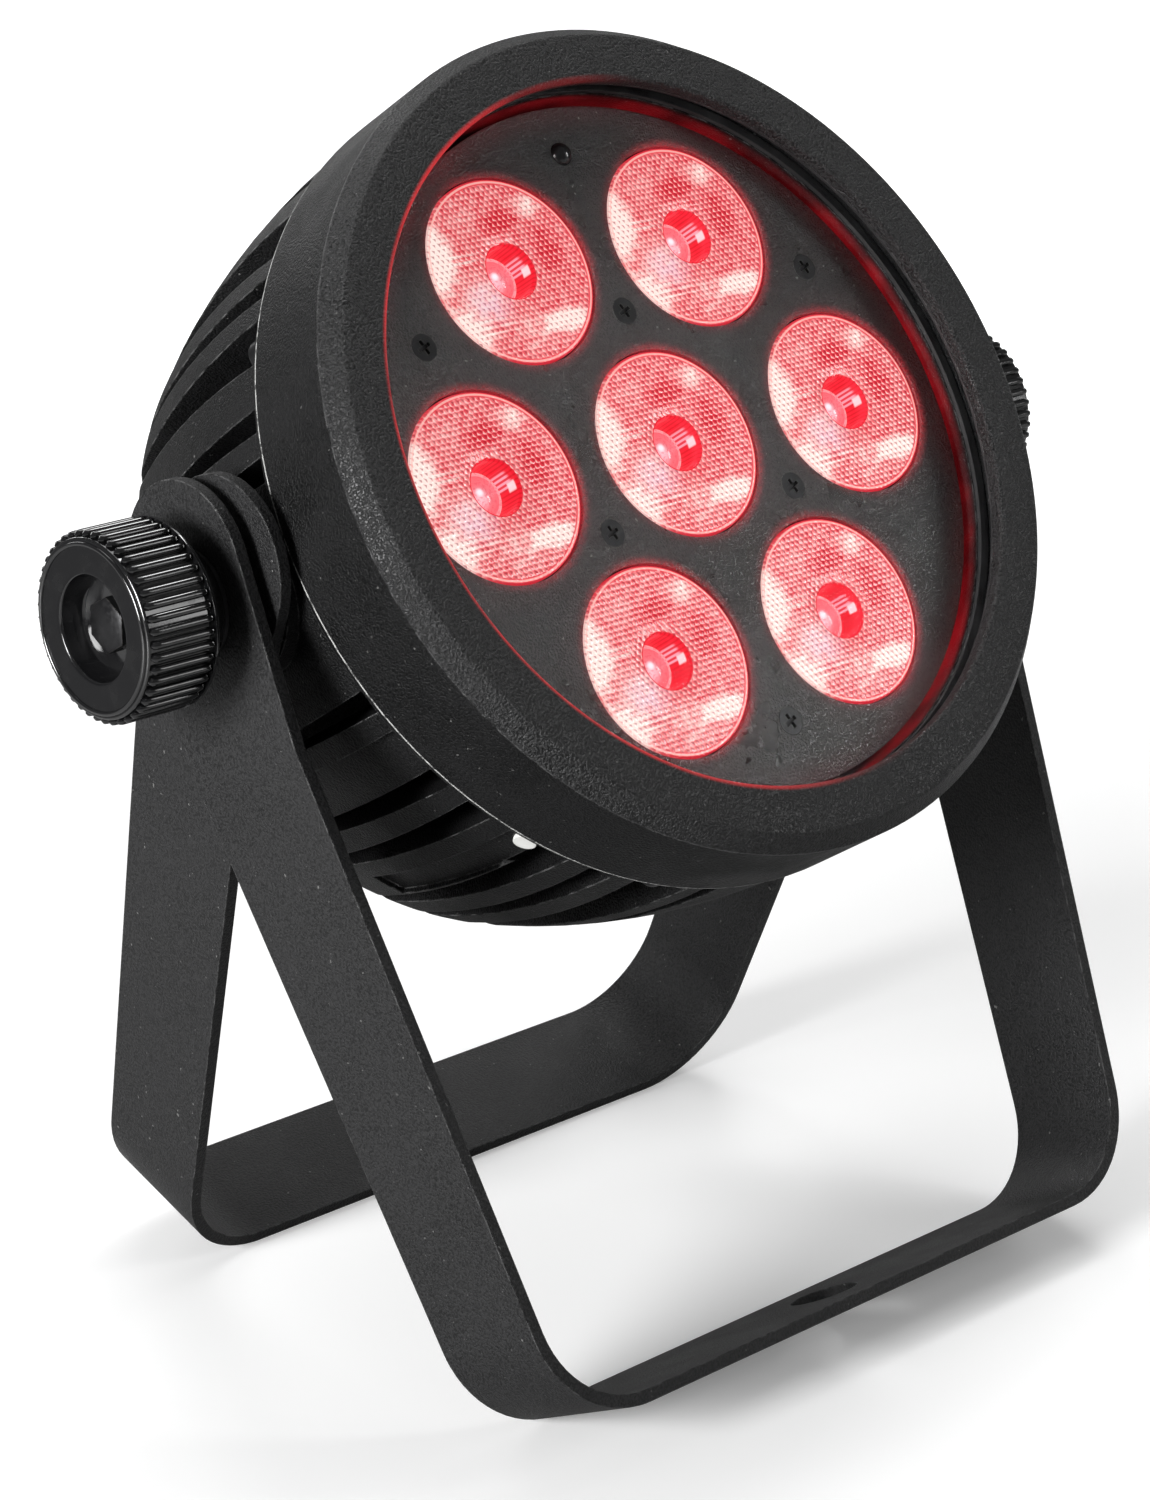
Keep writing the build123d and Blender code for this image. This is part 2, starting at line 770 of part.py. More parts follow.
def make_menu_button(place):
    """Round cap held behind the panel by its flange, with a stem to its switch."""
    x, y = place
    flange_low = panel_inner + face_gap
    button = disc(button_radius, panel_outer - button_rise, flange_low + 0.5, x, y)
    button += disc(button_radius + 1, flange_low, flange_low + button_flange, x, y)
    stem_end = flange_low + button_flange + button_stem
    return button + disc(button_stem_radius, flange_low + 0.5, stem_end, x, y)


def socket_shell():
    """Round socket through the panel: flange outside, body inside, open bore."""
    shell = disc(socket_flange, socket_face, panel_outer)
    shell += disc(socket_body, panel_outer - 1, socket_face + socket_length)
    return shell - disc(socket_bore, socket_face, socket_floor)


def pins(radius, low, high):
    """Three contact pins, or their holes."""
    return discs(radius, low, high, [around(pin_circle, 90 + 120 * index) for index in range(3)])


def make_signal_inlet(place):
    """Open shell with three holes in its floor for the pins."""
    holes = pins(pin_radius + static_fit, socket_floor, socket_floor + pin_seat)
    return Pos(*place, 0) * (socket_shell() - holes)


def make_signal_pins(place):
    tip = socket_floor - pin_length
    return [Pos(*place, 0) * pin for pin in pins(pin_radius, tip, socket_floor + pin_seat)]


def make_socket(place):
    """Open shell for a core."""
    return Pos(*place, 0) * socket_shell()


def make_signal_core(place):
    """Core with three contact holes, on the shell's floor."""
    core = disc(signal_core, socket_floor - core_length, socket_floor)
    return Pos(*place, 0) * (core - pins(pin_radius, socket_floor - core_length, socket_floor - 1))


def make_power_cores(places):
    """Keyed cores with two slots for the blades of a locking plug, on the shells' floors."""
    front = socket_floor - core_length
    core = disc(power_core, front, socket_floor)
    core -= block(2 * power_core, 1.6, front, socket_floor - 2)
    core -= block(1.6, power_core, front, socket_floor - 2, 0, power_core / 2)
    return [Pos(*place, 0) * Rot(0, 0, 180 * index) * core for index, place in enumerate(places)]


def make_socket_nuts():
    low = panel_inner
    nut = ring(socket_nut, socket_body + static_fit, low, low + socket_nut_thickness)
    return [Pos(x, y, 0) * nut for x, y in socket_places()]


def make_safety_eye():
    """Wire staple with two collars, its threaded legs through the back wall."""
    arch = Pos(0, 0, -back_depth - eye_straight) * Rot(90, 0, 0) * Torus(eye_half_width, eye_wire)
    arch &= block(4 * eye_half_width, 4 * eye_wire, -back_depth - eye_straight - 3 * eye_half_width,
                  -back_depth - eye_straight)
    eye = arch
    for side in (1, -1):
        eye += disc(eye_wire, -back_depth - eye_straight, eye_tail - back_depth, side * eye_half_width)
        eye += disc(eye_collar, -back_depth - eye_collar_thickness, -back_depth, side * eye_half_width)
    return Pos(0, eye_place, 0) * eye


def make_safety_eye_nuts():
    nut = extrude(RegularPolygon(eye_nut_radius, 6), eye_nut_thickness)
    nut -= disc(eye_wire + static_fit, 0, eye_nut_thickness)
    return [Pos(side * eye_half_width, eye_place, back_inner) * nut for side in (1, -1)]


# ---- pivot stack and knobs ----

def make_washer(radius, low, high, side):
    return along_x(radius, low, high, side) - along_x(stud_hole, low, high, side)


def make_stud(side):
    return along_x(stud_radius, stud_end, hub_inner + stud_in_knob, side)


def make_knob(side):
    """Ribbed knob: hub, grooved rim, a thin raised circle and a round recess in the face."""
    knob = turned(
        (0, hub_inner),
        (hub_radius, hub_inner),
        (hub_radius, knob_back),
        (knob_back_radius, knob_back),
        (knob_radius, knob_face - knob_edge),
        (lip_radius + lip_width, knob_face - lip_rise),
        (lip_radius + lip_width / 2, knob_face),
        (lip_radius - lip_width / 2, knob_face),
        (lip_radius - lip_width, knob_face - lip_rise),
        (recess_radius + recess_rim, knob_face - lip_rise),
        (recess_radius, knob_face - lip_rise - recess_rim),
        (recess_radius - recess_rim, knob_face - recess_depth),
        (0, knob_face - recess_depth),
    )
    groove_place = knob_radius + groove_radius - groove_depth
    for index in range(groove_count):
        x, y = around(groove_place, 360 * (index + 0.5) / groove_count)
        knob -= disc(groove_radius, knob_back + knob_back_rim, knob_face, x, y)
    knob -= disc(stud_radius + static_fit, hub_inner, hub_inner + stud_in_knob)
    return Rot(0, 90 * side, 0) * knob


# ---- yokes ----

def mirrored_outline(*points):
    """Face with the given right side and its mirror image on the left."""
    left = [(-x, y) for x, y in reversed(points)]
    return make_face(Polyline(*points, *left, close=True))


def make_yoke(outer, length, kink, angle, corner, bar_width, end_rise):
    """U-shaped strip: round upper ends, a slight bend below the pivot, large lower corners."""
    slope = tan(radians(angle))
    thin = sheet / cos(radians(angle))
    inner_kink = kink - sheet * tan(radians(angle / 2))
    top = yoke_width
    foot = outer - (length - kink) * slope
    inner_foot = outer - (length - sheet - kink) * slope - thin
    outside = mirrored_outline((outer, top), (outer, -kink), (foot, -length))
    leg = outer - sheet
    inside = mirrored_outline((leg, top), (leg, -inner_kink), (inner_foot, sheet - length))
    outside = fillet(outside.vertices().group_by(Axis.Y)[0], corner)
    inside = fillet(inside.vertices().group_by(Axis.Y)[0], corner - sheet)
    strip = extrude(Plane.XZ * (outside - inside), yoke_width, both=True)
    # side view of the legs: tapered, with a half circle on top
    half = yoke_width / 2
    end_half = half + (half - bar_width / 2) * end_rise / length
    end_top = end_rise + end_half
    side = Line((-bar_width / 2, -length), (bar_width / 2, -length))
    side += Line((bar_width / 2, -length), (end_half, end_rise))
    side += ThreePointArc((end_half, end_rise), (0, end_top), (-end_half, end_rise))
    side += Line((-end_half, end_rise), (-bar_width / 2, -length))
    blade = extrude(Plane.YZ * make_face(side), 2 * outer, both=True)
    yoke = strip & blade
    yoke -= Rot(0, 90, 0) * Cylinder(stud_hole, 3 * outer)
    return yoke - disc(mount_hole_radius, -length - 1, sheet - length + 1)


def make_front_bracket():
    return make_yoke(front_outer, front_length, front_kink, front_kink_angle,
                     front_corner, yoke_bar_width, front_end_rise)


def make_rear_bracket():
    return make_yoke(rear_outer, rear_length, rear_kink, rear_kink_angle,
                     rear_corner, rear_bar_width, rear_end_rise)


# ---- assembly ----

def head_pieces():
    """Everything that turns with the head, in the head's frame."""
    power_in, signal_in, signal_out, power_out = socket_places()
    pieces = {
        "front_bezel": make_front_bezel(),
        "bezel_gasket": make_bezel_gasket(),
        "front_glass": make_front_glass(),
        "glass_seal": make_glass_seal(),
        "bezel_screws": make_bezel_screws(),
        "lens_plate": make_lens_plate(),
        "plate_screws": make_plate_screws(),
        "sensor_window": make_sensor_window(),
        "lens_carrier": make_lens_carrier(),
        "led_board": make_led_board(),
        "led_emitters": make_led_emitters(),
        "board_screws": make_board_screws(),
        "housing": make_housing(),
        "breather_vent": vent_solid(0),
        "driver_board": make_driver_board(),
        "power_supply_board": make_power_supply_board(),
        "board_pillars": make_board_pillars(),
        "circuit_screws": make_circuit_screws(),
        "rear_panel": make_rear_panel(),
        "panel_gasket": make_panel_gasket(),
        "panel_screws": make_panel_screws(),
        "display_window": make_display_window(),
        "display_board": make_display_board(),
        "display_screws": make_display_screws(),
        "power_inlet": make_socket(power_in),
        "signal_inlet": make_signal_inlet(signal_in),
        "signal_outlet": make_socket(signal_out),
        "power_outlet": make_socket(power_out),
        "power_cores": make_power_cores([power_in, power_out]),
        "signal_core": make_signal_core(signal_out),
        "signal_pins": make_signal_pins(signal_in),
        "socket_nuts": make_socket_nuts(),
        "safety_eye": make_safety_eye(),
        "safety_eye_nuts": make_safety_eye_nuts(),
    }
    lens = make_lens()
    for index, (x, y) in enumerate(lens_places()):
        pieces[f"lens_{index + 1}"] = Pos(x, y, 0) * lens
    for index, place in enumerate(button_places()):
        pieces[f"menu_button_{index + 1}"] = make_menu_button(place)
    for name, side in (("left", -1), ("right", 1)):
        pieces[f"{name}_insert"] = make_insert(side)
        washer_end = boss_face + boss_washer_thickness
        pieces[f"{name}_boss_washer"] = make_washer(boss_washer_radius, boss_face, washer_end, side)
        pieces[f"{name}_knob"] = make_knob(side)
        pieces[f"{name}_stud"] = make_stud(side)
        washer_end = knob_washer_inner + knob_washer_thickness
        washer = make_washer(knob_washer_radius, knob_washer_inner, washer_end, side)
        pieces[f"{name}_knob_washer"] = washer
    return pieces


def front_pieces():
    """The outer yoke and the two spacers on it."""
    pieces = {"front_bracket": make_front_bracket()}
    for name, side in (("left", -1), ("right", 1)):
        low = front_inner - spacer_thickness
        pieces[f"{name}_spacer"] = make_washer(spacer_radius, low, front_inner, side)
    return pieces


def placed(pieces, location):
    """Each piece as a compound of its solids, moved to its place."""
    result = {}
    for name, piece in pieces.items():
        group = piece if isinstance(piece, list) else [piece]
        solids = [location * solid for item in group for solid in item.solids()]
        result[name] = Compound(children=solids) if len(solids) > 1 else solids[0]
    return result


def assemble():
    """All nodes in the part's frame: the origin is at the middle of the base of its bounding box."""
    nodes = placed(head_pieces(), Rot(90 - head_tilt, 0, 0))
    nodes.update(placed(front_pieces(), Rot(-front_lean, 0, 0)))
    nodes.update(placed({"rear_bracket": make_rear_bracket()}, Rot(rear_lean, 0, 0)))
    box = Compound(children=list(nodes.values())).bounding_box()
    shift = Pos(-(box.min.X + box.max.X) / 2, -(box.min.Y + box.max.Y) / 2, -box.min.Z)
    return placed(nodes, shift), shift


nodes, shift = assemble()
os.makedirs("parts", exist_ok=True)
for name, shape in nodes.items():
    export_step(shape, f"parts/{name}.step")
print("nodes", len(nodes), "pivot at", shift.position)
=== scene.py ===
import json
import math
import bmesh
import bpy
from mathutils import Matrix, Vector


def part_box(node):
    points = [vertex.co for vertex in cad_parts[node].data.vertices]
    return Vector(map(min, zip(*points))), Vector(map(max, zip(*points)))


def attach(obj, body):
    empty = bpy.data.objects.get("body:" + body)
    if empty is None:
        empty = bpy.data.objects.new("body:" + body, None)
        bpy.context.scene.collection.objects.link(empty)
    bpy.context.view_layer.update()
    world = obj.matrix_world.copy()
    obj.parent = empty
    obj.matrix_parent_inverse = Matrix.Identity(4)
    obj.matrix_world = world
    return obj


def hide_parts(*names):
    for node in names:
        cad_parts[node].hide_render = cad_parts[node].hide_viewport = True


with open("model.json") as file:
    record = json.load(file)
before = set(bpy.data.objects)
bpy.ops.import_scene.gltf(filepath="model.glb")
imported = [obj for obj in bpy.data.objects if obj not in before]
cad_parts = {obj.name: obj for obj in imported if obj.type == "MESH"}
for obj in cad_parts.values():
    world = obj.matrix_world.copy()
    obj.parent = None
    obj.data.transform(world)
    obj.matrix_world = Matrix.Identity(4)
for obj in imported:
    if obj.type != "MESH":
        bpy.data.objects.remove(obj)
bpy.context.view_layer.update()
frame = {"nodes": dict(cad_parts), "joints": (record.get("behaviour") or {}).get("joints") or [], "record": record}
nodes = frame["nodes"]
record = frame["record"]

# ---- Head frame ----
# The head turns on the pivot axis, which runs along X through both clamp knobs.
# Its frame has the pivot at 0, X along the pivot axis, Y towards the head's top and Z along the lens axis.
pivot = Vector([joint for joint in frame["joints"] if joint["name"] == "head_tilt"][0]["pos_m"])
inlet_mount = [mount for mount in record["mounts"] if mount["name"] == "power_inlet"][0]
lens_axis = -Vector(inlet_mount["axis"]).normalized()
head_up = lens_axis.cross(Vector((1, 0, 0)))
head_place = Matrix.Translation(pivot) @ Matrix((
    (1, head_up.x, lens_axis.x, 0),
    (0, head_up.y, lens_axis.y, 0),
    (0, head_up.z, lens_axis.z, 0),
    (0, 0, 0, 1),
))
mm = 0.001

# ---- Camera ----
# A long lens, to the left of the light and a little above it.
# It looks past the pivot, and its shift keeps the yokes' feet in the picture.
camera_data = bpy.data.cameras.new("camera")
camera_data.sensor_width = 36
camera_data.lens = 97.25
camera_data.shift_x = -0.0849
camera_data.shift_y = -0.1555
camera_data.clip_end = 20
camera = bpy.data.objects.new("camera", camera_data)
bpy.context.scene.collection.objects.link(camera)
bpy.context.scene.camera = camera
turn = math.radians(44.143)
rise = math.radians(15.969)
roll = math.radians(0.155)
forward = Vector((math.sin(turn) * math.cos(rise), math.cos(turn) * math.cos(rise), -math.sin(rise)))
level_right = Vector((math.cos(turn), -math.sin(turn), 0))
level_up = level_right.cross(forward)
right = math.cos(roll) * level_right + math.sin(roll) * level_up
up = math.cos(roll) * level_up - math.sin(roll) * level_right
eye_distance = 0.8344
eye_right = 0.0263
eye_down = 0.0021
eye = pivot - eye_distance * forward + eye_right * right - eye_down * up
camera.matrix_world = Matrix((
    (right.x, up.x, -forward.x, eye.x),
    (right.y, up.y, -forward.y, eye.y),
    (right.z, up.z, -forward.z, eye.z),
    (0, 0, 0, 1),
))

# ---- Studio ----
# A white sweep under soft light: a large box overhead, one at each side and behind, and narrow ones in front.
# The sweep and the world are white to the camera and duller to the light's own surfaces, which stay black.


def link(tree, source, target):
    tree.links.new(source, target)


def new_material(name):
    """A material, its node tree and its Principled shader."""
    material = bpy.data.materials.new(name)
    material.use_nodes = True
    return material, material.node_tree, material.node_tree.nodes["Principled BSDF"]


def feed(tree, value, target):
    """Sets an input to a value, or links it when the value is a socket."""
    if isinstance(value, bpy.types.NodeSocket):
        link(tree, value, target)
    elif value is not None:
        target.default_value = value


def math_node(tree, operation, *operands):
    """A Math node with its operands, which are sockets or numbers."""
    node = tree.nodes.new("ShaderNodeMath")
    node.operation = operation
    for value, socket in zip(operands, node.inputs):
        feed(tree, value, socket)
    return node.outputs[0]


def product(tree, result, *factors):
    """Values multiplied together, from the first to the last."""
    for factor in factors:
        result = math_node(tree, "MULTIPLY", result, factor)
    return result


def vector_node(tree, operation, *operands):
    """A Vector Math node with its operands, which are sockets or vectors."""
    node = tree.nodes.new("ShaderNodeVectorMath")
    node.operation = operation
    for value, socket in zip(operands, node.inputs):
        feed(tree, value, socket)
    return node.outputs["Value" if operation in ("LENGTH", "DOT_PRODUCT") else "Vector"]


def fade(tree, value, start, end, low=0.0, high=1.0):
    """Smooth change from low to high while a value goes from start to end."""
    node = tree.nodes.new("ShaderNodeMapRange")
    node.interpolation_type = "SMOOTHSTEP"
    names = ("From Min", "From Max", "To Min", "To Max", "Value")
    for name, number in zip(names, (start, end, low, high, value)):
        feed(tree, number, node.inputs[name])
    return node.outputs["Result"]


def object_place(tree):
    return tree.nodes.new("ShaderNodeTexCoord").outputs["Object"]


def for_camera(tree, others, camera):
    """One value for the camera's rays and another for all others."""
    node = tree.nodes.new("ShaderNodeMapRange")
    feed(tree, others, node.inputs["To Min"])
    feed(tree, camera, node.inputs["To Max"])
    link(tree, tree.nodes.new("ShaderNodeLightPath").outputs["Is Camera Ray"], node.inputs["Value"])
    return node.outputs["Result"]


def area_light(name, place, aim, width, height, energy):
    """A soft box at a place, pointed at another."""
    data = bpy.data.lights.new(name, "AREA")
    data.shape = "RECTANGLE"
    data.size = width
    data.size_y = height
    data.energy = energy
    lamp = bpy.data.objects.new(name, data)
    lamp.location = place
    lamp.rotation_euler = (Vector(aim) - Vector(place)).to_track_quat("-Z", "Y").to_euler()
    bpy.context.scene.collection.objects.link(lamp)


area_light("overhead_box", (0.4, 0.42, 1.35), pivot, 1.0, 1.0, 6.5)
area_light("left_box", (-1.3, -0.08, 0.44), pivot, 0.5, 0.5, 32)
area_light("front_strip", (0.68, -0.67, 0.42), pivot, 0.16, 0.45, 2.0)
area_light("knob_strip", (0.44, -0.78, 0.42), pivot, 0.06, 0.5, 0.3)
area_light("high_strip", (0.62, 0.22, 1.15), pivot, 0.25, 0.25, 2.0)
area_light("right_box", (1.3, 0.4, 0.5), pivot, 0.5, 0.5, 3.0)
area_light("rear_box", (0.3, 1.4, 0.7), pivot, 0.6, 0.6, 4.0)

world = bpy.data.worlds.new("studio")
bpy.context.scene.world = world
world.use_nodes = True
tree = world.node_tree
tree.nodes.clear()
background = tree.nodes.new("ShaderNodeBackground")
background.inputs["Color"].default_value = (1, 1, 1, 1)
link(tree, for_camera(tree, 0.12, 1.0), background.inputs["Strength"])
output = tree.nodes.new("ShaderNodeOutputWorld")
link(tree, background.outputs[0], output.inputs["Surface"])
bpy.context.scene.view_settings.view_transform = "Standard"

floor_mesh = bpy.data.meshes.new("floor")
floor_mesh.from_pydata([(-4, -4, 0), (4, -4, 0), (4, 4, 0), (-4, 4, 0)], [], [(0, 1, 2, 3)])
floor = bpy.data.objects.new("floor", floor_mesh)
bpy.context.scene.collection.objects.link(floor)
floor_paint, tree, shader = new_material("floor_paint")
shader.inputs["Roughness"].default_value = 0.35
shader.inputs["Emission Color"].default_value = (1, 1, 1, 1)
link(tree, for_camera(tree, 0.4, 0.92), shader.inputs["Base Color"])
# the sweep glows white for the camera, but less near the light's feet: a painted shade on the floor round them
away = vector_node(tree, "LENGTH", object_place(tree))
sweep = fade(tree, away, 0.2, 1.1, 0.17, 1.0)
camera_ray = tree.nodes.new("ShaderNodeLightPath").outputs["Is Camera Ray"]
link(tree, product(tree, camera_ray, sweep), shader.inputs["Emission Strength"])
floor_mesh.materials.append(floor_paint)

# ---- Housing ----
# The drum is one aluminium casting with slots for air between its fins, coated in a coarse black wrinkle.
# The coat is thin on its edges and painted pale there, partly as wear and partly as a painted highlight where they
# catch the light, and the chamber round the lenses has a painted red glow.


def new_group(name, inputs, outputs):
    """A shader node group with its sockets, its input node and its output node."""
    group = bpy.data.node_groups.new(name, "ShaderNodeTree")
    for socket, kind, value in inputs:
        made = group.interface.new_socket(name=socket, in_out="INPUT", socket_type="NodeSocket" + kind)
        made.default_value = value
    for socket, kind in outputs:
        group.interface.new_socket(name=socket, in_out="OUTPUT", socket_type="NodeSocket" + kind)
    return group, group.nodes.new("NodeGroupInput"), group.nodes.new("NodeGroupOutput")


def place_group(tree, group, **values):
    """A group node in a tree, with its inputs fed by name."""
    node = tree.nodes.new("ShaderNodeGroup")
    node.node_tree = group
    for name, value in values.items():
        feed(tree, value, node.inputs[name.replace("_", " ")])
    return node


def finished(name, group, **values):
    """A material whose colour, roughness and normal come from a group, its tree and its shader."""
    material, tree, shader = new_material(name)
    finish = place_group(tree, group, **values)
    for source, target in (("Color", "Base Color"), ("Roughness", "Roughness"), ("Normal", "Normal")):
        link(tree, finish.outputs[source], shader.inputs[target])
    return material, tree, shader


def dress(material, *names):
    """Gives a material to carried-over nodes."""
    for name in names:
        mesh = nodes[name].data
        mesh.materials.clear()
        mesh.materials.append(material)


def total(tree, result, *values):
    """Values added together, from the first to the last."""
    for value in values:
        result = math_node(tree, "ADD", result, value)
    return result


def radial(tree, place):
    """Distance of a place from the Z axis."""
    return vector_node(tree, "LENGTH", vector_node(tree, "MULTIPLY", place, (1, 1, 0)))


def split_axes(tree, place):
    """The X, Y and Z outputs of a place."""
    node = tree.nodes.new("ShaderNodeSeparateXYZ")
    link(tree, place, node.inputs[0])
    return node.outputs


def mix_colour(tree, factor, first, second, blend="MIX"):
    """Mixes two colours, each a socket or a tuple."""
    node = tree.nodes.new("ShaderNodeMix")
    node.data_type = "RGBA"
    node.blend_type = blend
    for name, value in (("Factor_Float", factor), ("A_Color", first), ("B_Color", second)):
        socket = next(item for item in node.inputs if item.identifier == name)
        feed(tree, (*value, 1) if isinstance(value, tuple) else value, socket)
    return next(item for item in node.outputs if item.identifier == "Result_Color")


def noise(tree, place, size, detail=2.0, roughness=0.5):
    """Noise whose blots have about the given size, in the unit of the place."""
    node = tree.nodes.new("ShaderNodeTexNoise")
    fixed = isinstance(size, (int, float))
    scale = 1 / size if fixed else math_node(tree, "DIVIDE", 1.0, size)
    for name, value in (("Vector", place), ("Scale", scale), ("Detail", detail), ("Roughness", roughness)):
        feed(tree, value, node.inputs[name])
    return node.outputs["Fac"]


def edge_mask(tree, radius):
    """1 where two faces meet within a radius and 0 on flat ground, and the rounded normal."""
    bevel = tree.nodes.new("ShaderNodeBevel")
    bevel.samples = 4
    feed(tree, radius, bevel.inputs["Radius"])
    ground = tree.nodes.new("ShaderNodeNewGeometry")
    agree = vector_node(tree, "DOT_PRODUCT", bevel.outputs["Normal"], ground.outputs["Normal"])
    return fade(tree, agree, 0.99, 0.86), bevel.outputs["Normal"]


def relief(tree, height, strength, distance, target, normal=None):
    """Bumps from a height, their distance in metres, led to a Normal input."""
    bump = tree.nodes.new("ShaderNodeBump")
    values = {"Height": height, "Strength": strength, "Distance": distance, "Normal": normal}
    for name, value in values.items():
        feed(tree, value, bump.inputs[name])
    link(tree, bump.outputs["Normal"], target)


def shine(tree, shader, colour):
    """Gives a shader light of its own, from a colour socket."""
    link(tree, colour, shader.inputs["Emission Color"])
    shader.inputs["Emission Strength"].default_value = 1.0


# Wrinkled powder coat: coarse grain, cloudy gloss, thin pale edges that are partly wear and partly a painted
# highlight, and specks of dust.
powder_coat, given, made = new_group(
    "powder_coat",
    [("Dark", "Color", (0.007, 0.007, 0.0073, 1)),
     ("Light", "Color", (0.03, 0.03, 0.031, 1)),
     ("Grain Size", "Float", 0.0009), ("Grain Depth", "Float", 0.5),
     ("Smooth", "Float", 0.36), ("Rough", "Float", 0.56),
     ("Wear", "Float", 0.5), ("Dust", "Float", 0.3)],
    [("Color", "Color"), ("Roughness", "Float"), ("Normal", "Vector")],
)
tree = powder_coat
place = object_place(tree)
wrinkle = fade(tree, noise(tree, place, given.outputs["Grain Size"], 2.0, 0.55), 0.34, 0.66)
cloud = noise(tree, place, 0.022, 4.0, 0.6)
shade = mix_colour(tree, wrinkle, given.outputs["Dark"], given.outputs["Light"])
shade = mix_colour(tree, fade(tree, cloud, 0.35, 0.7, 0.0, 0.2), shade, (0.02, 0.02, 0.021))
# the edges are painted paler: partly wear of the coat, partly a painted highlight where edges catch the light
edges, rounded = edge_mask(tree, 0.0005)
patchy = fade(tree, noise(tree, place, 0.003, 3.0, 0.7), 0.4, 0.62)
pale_marks = product(tree, edges, patchy, given.outputs["Wear"])
shade = mix_colour(tree, pale_marks, shade, (0.16, 0.16, 0.16))
specks = fade(tree, noise(tree, place, 0.0011, 1.0), 0.75, 0.79)
specks = product(tree, specks, given.outputs["Dust"])
shade = mix_colour(tree, specks, shade, (0.3, 0.3, 0.29))
link(tree, shade, made.inputs["Color"])
gloss = fade(tree, cloud, 0.3, 0.7, given.outputs["Smooth"], given.outputs["Rough"])
link(tree, gloss, made.inputs["Roughness"])
relief(tree, wrinkle, given.outputs["Grain Depth"], 0.00025, made.inputs["Normal"], rounded)


def coated(name, gloss=0.35, **values):
    """A powder-coated material, its tree and its shader."""
    material, tree, shader = finished(name, powder_coat, **values)
    shader.inputs["Specular IOR Level"].default_value = gloss
    return material, tree, shader


def head_mm(tree):
    """Place in the head's frame, in millimetres."""
    moved = vector_node(tree, "SUBTRACT", object_place(tree), tuple(pivot))
    joined = tree.nodes.new("ShaderNodeCombineXYZ")
    for name, axis in zip("XYZ", (Vector((1, 0, 0)), head_up, lens_axis)):
        link(tree, vector_node(tree, "DOT_PRODUCT", moved, tuple(axis / mm)), joined.inputs[name])
    return joined.outputs[0]


# Painted red light: a red glow on the chamber's wall and the seals, standing in for the lenses' light that spills
# past them.
painted_chamber_glow, given, made = new_group(
    "painted_chamber_glow",
    [("From Radius", "Float", 73.8), ("To Radius", "Float", 75.0)],
    [("Color", "Color")],
)
tree = painted_chamber_glow
place = head_mm(tree)
height = split_axes(tree, place)["Z"]
reach = radial(tree, place)
inside = product(tree, fade(tree, height, 26, 34), fade(tree, height, 38.6, 36.4))
near = fade(tree, reach, given.outputs["From Radius"], given.outputs["To Radius"])
near = product(tree, near, fade(tree, reach, 79.0, 77.9))
uneven = fade(tree, noise(tree, object_place(tree), 0.018, 3.0), 0.35, 0.65, 0.2, 1.0)
# the painted glow is brighter towards the right of the chamber
to_bright_side = vector_node(tree, "SUBTRACT", place, (75, -12, 36))
glow_brighter_right = fade(tree, vector_node(tree, "LENGTH", to_bright_side), 20, 120, 1.0, 0.4)
level = product(tree, inside, near, uneven, glow_brighter_right)
link(tree, mix_colour(tree, level, (0.0, 0.0, 0.0), (0.26, 0.006, 0.01)), made.inputs["Color"])


def paint_red_glow(tree, shader, **values):
    """Paints the chamber's red glow on a shader, where the lenses' light would fall on it."""
    glow = place_group(tree, painted_chamber_glow, **values)
    shine(tree, shader, glow.outputs["Color"])


drum_coat, tree, shader = coated(
    "drum_coat", 0.16, Grain_Size=0.0005, Grain_Depth=0.7, Smooth=0.38, Rough=0.54,
    Dark=(0.001, 0.001, 0.0011, 1), Light=(0.005, 0.005, 0.0052, 1), Wear=1.0)
# painted red glow on the chamber's wall
paint_red_glow(tree, shader)
# a thin dashed pale line is painted along the back edge of the drum's smooth band: partly chips in the coat,
# partly a painted edge highlight
band_back = 20.0
band_radius = 87.5
place = head_mm(tree)
dashed_edge = fade(tree, noise(tree, object_place(tree), 0.0024, 4.0, 0.7), 0.4, 0.5, 0.15, 1.0)
off_edge = math_node(tree, "ABSOLUTE", math_node(tree, "SUBTRACT", split_axes(tree, place)["Z"], band_back))
on_band = fade(tree, radial(tree, place), band_radius - 1, band_radius)
band_line = product(tree, fade(tree, off_edge, 0.34, 0.16), on_band, dashed_edge)
paint = shader.inputs["Base Color"].links[0].from_socket
link(tree, mix_colour(tree, band_line, paint, (0.42, 0.42, 0.41)), shader.inputs["Base Color"])
dress(drum_coat, "housing")

# ---- Front bezel ----
# A cast aluminium ring with a flat face, a bevelled edge and a rounded lip, in the same wrinkle coat.
# It clamps the glass and is screwed on from behind, so no screw shows in its face.


def head_corners(name):
    """Lowest and highest corner of a node in the head's frame, in millimetres."""
    inverse = head_place.inverted()
    points = [inverse @ vertex.co / mm for vertex in nodes[name].data.vertices]
    low = Vector([min(point[axis] for point in points) for axis in range(3)])
    high = Vector([max(point[axis] for point in points) for axis in range(3)])
    return low, high


def local_place(tree):
    """Place in a turned piece's own frame, in millimetres."""
    place = tree.nodes.new("ShaderNodeAttribute")
    place.attribute_name = "local_mm"
    return place.outputs["Vector"]


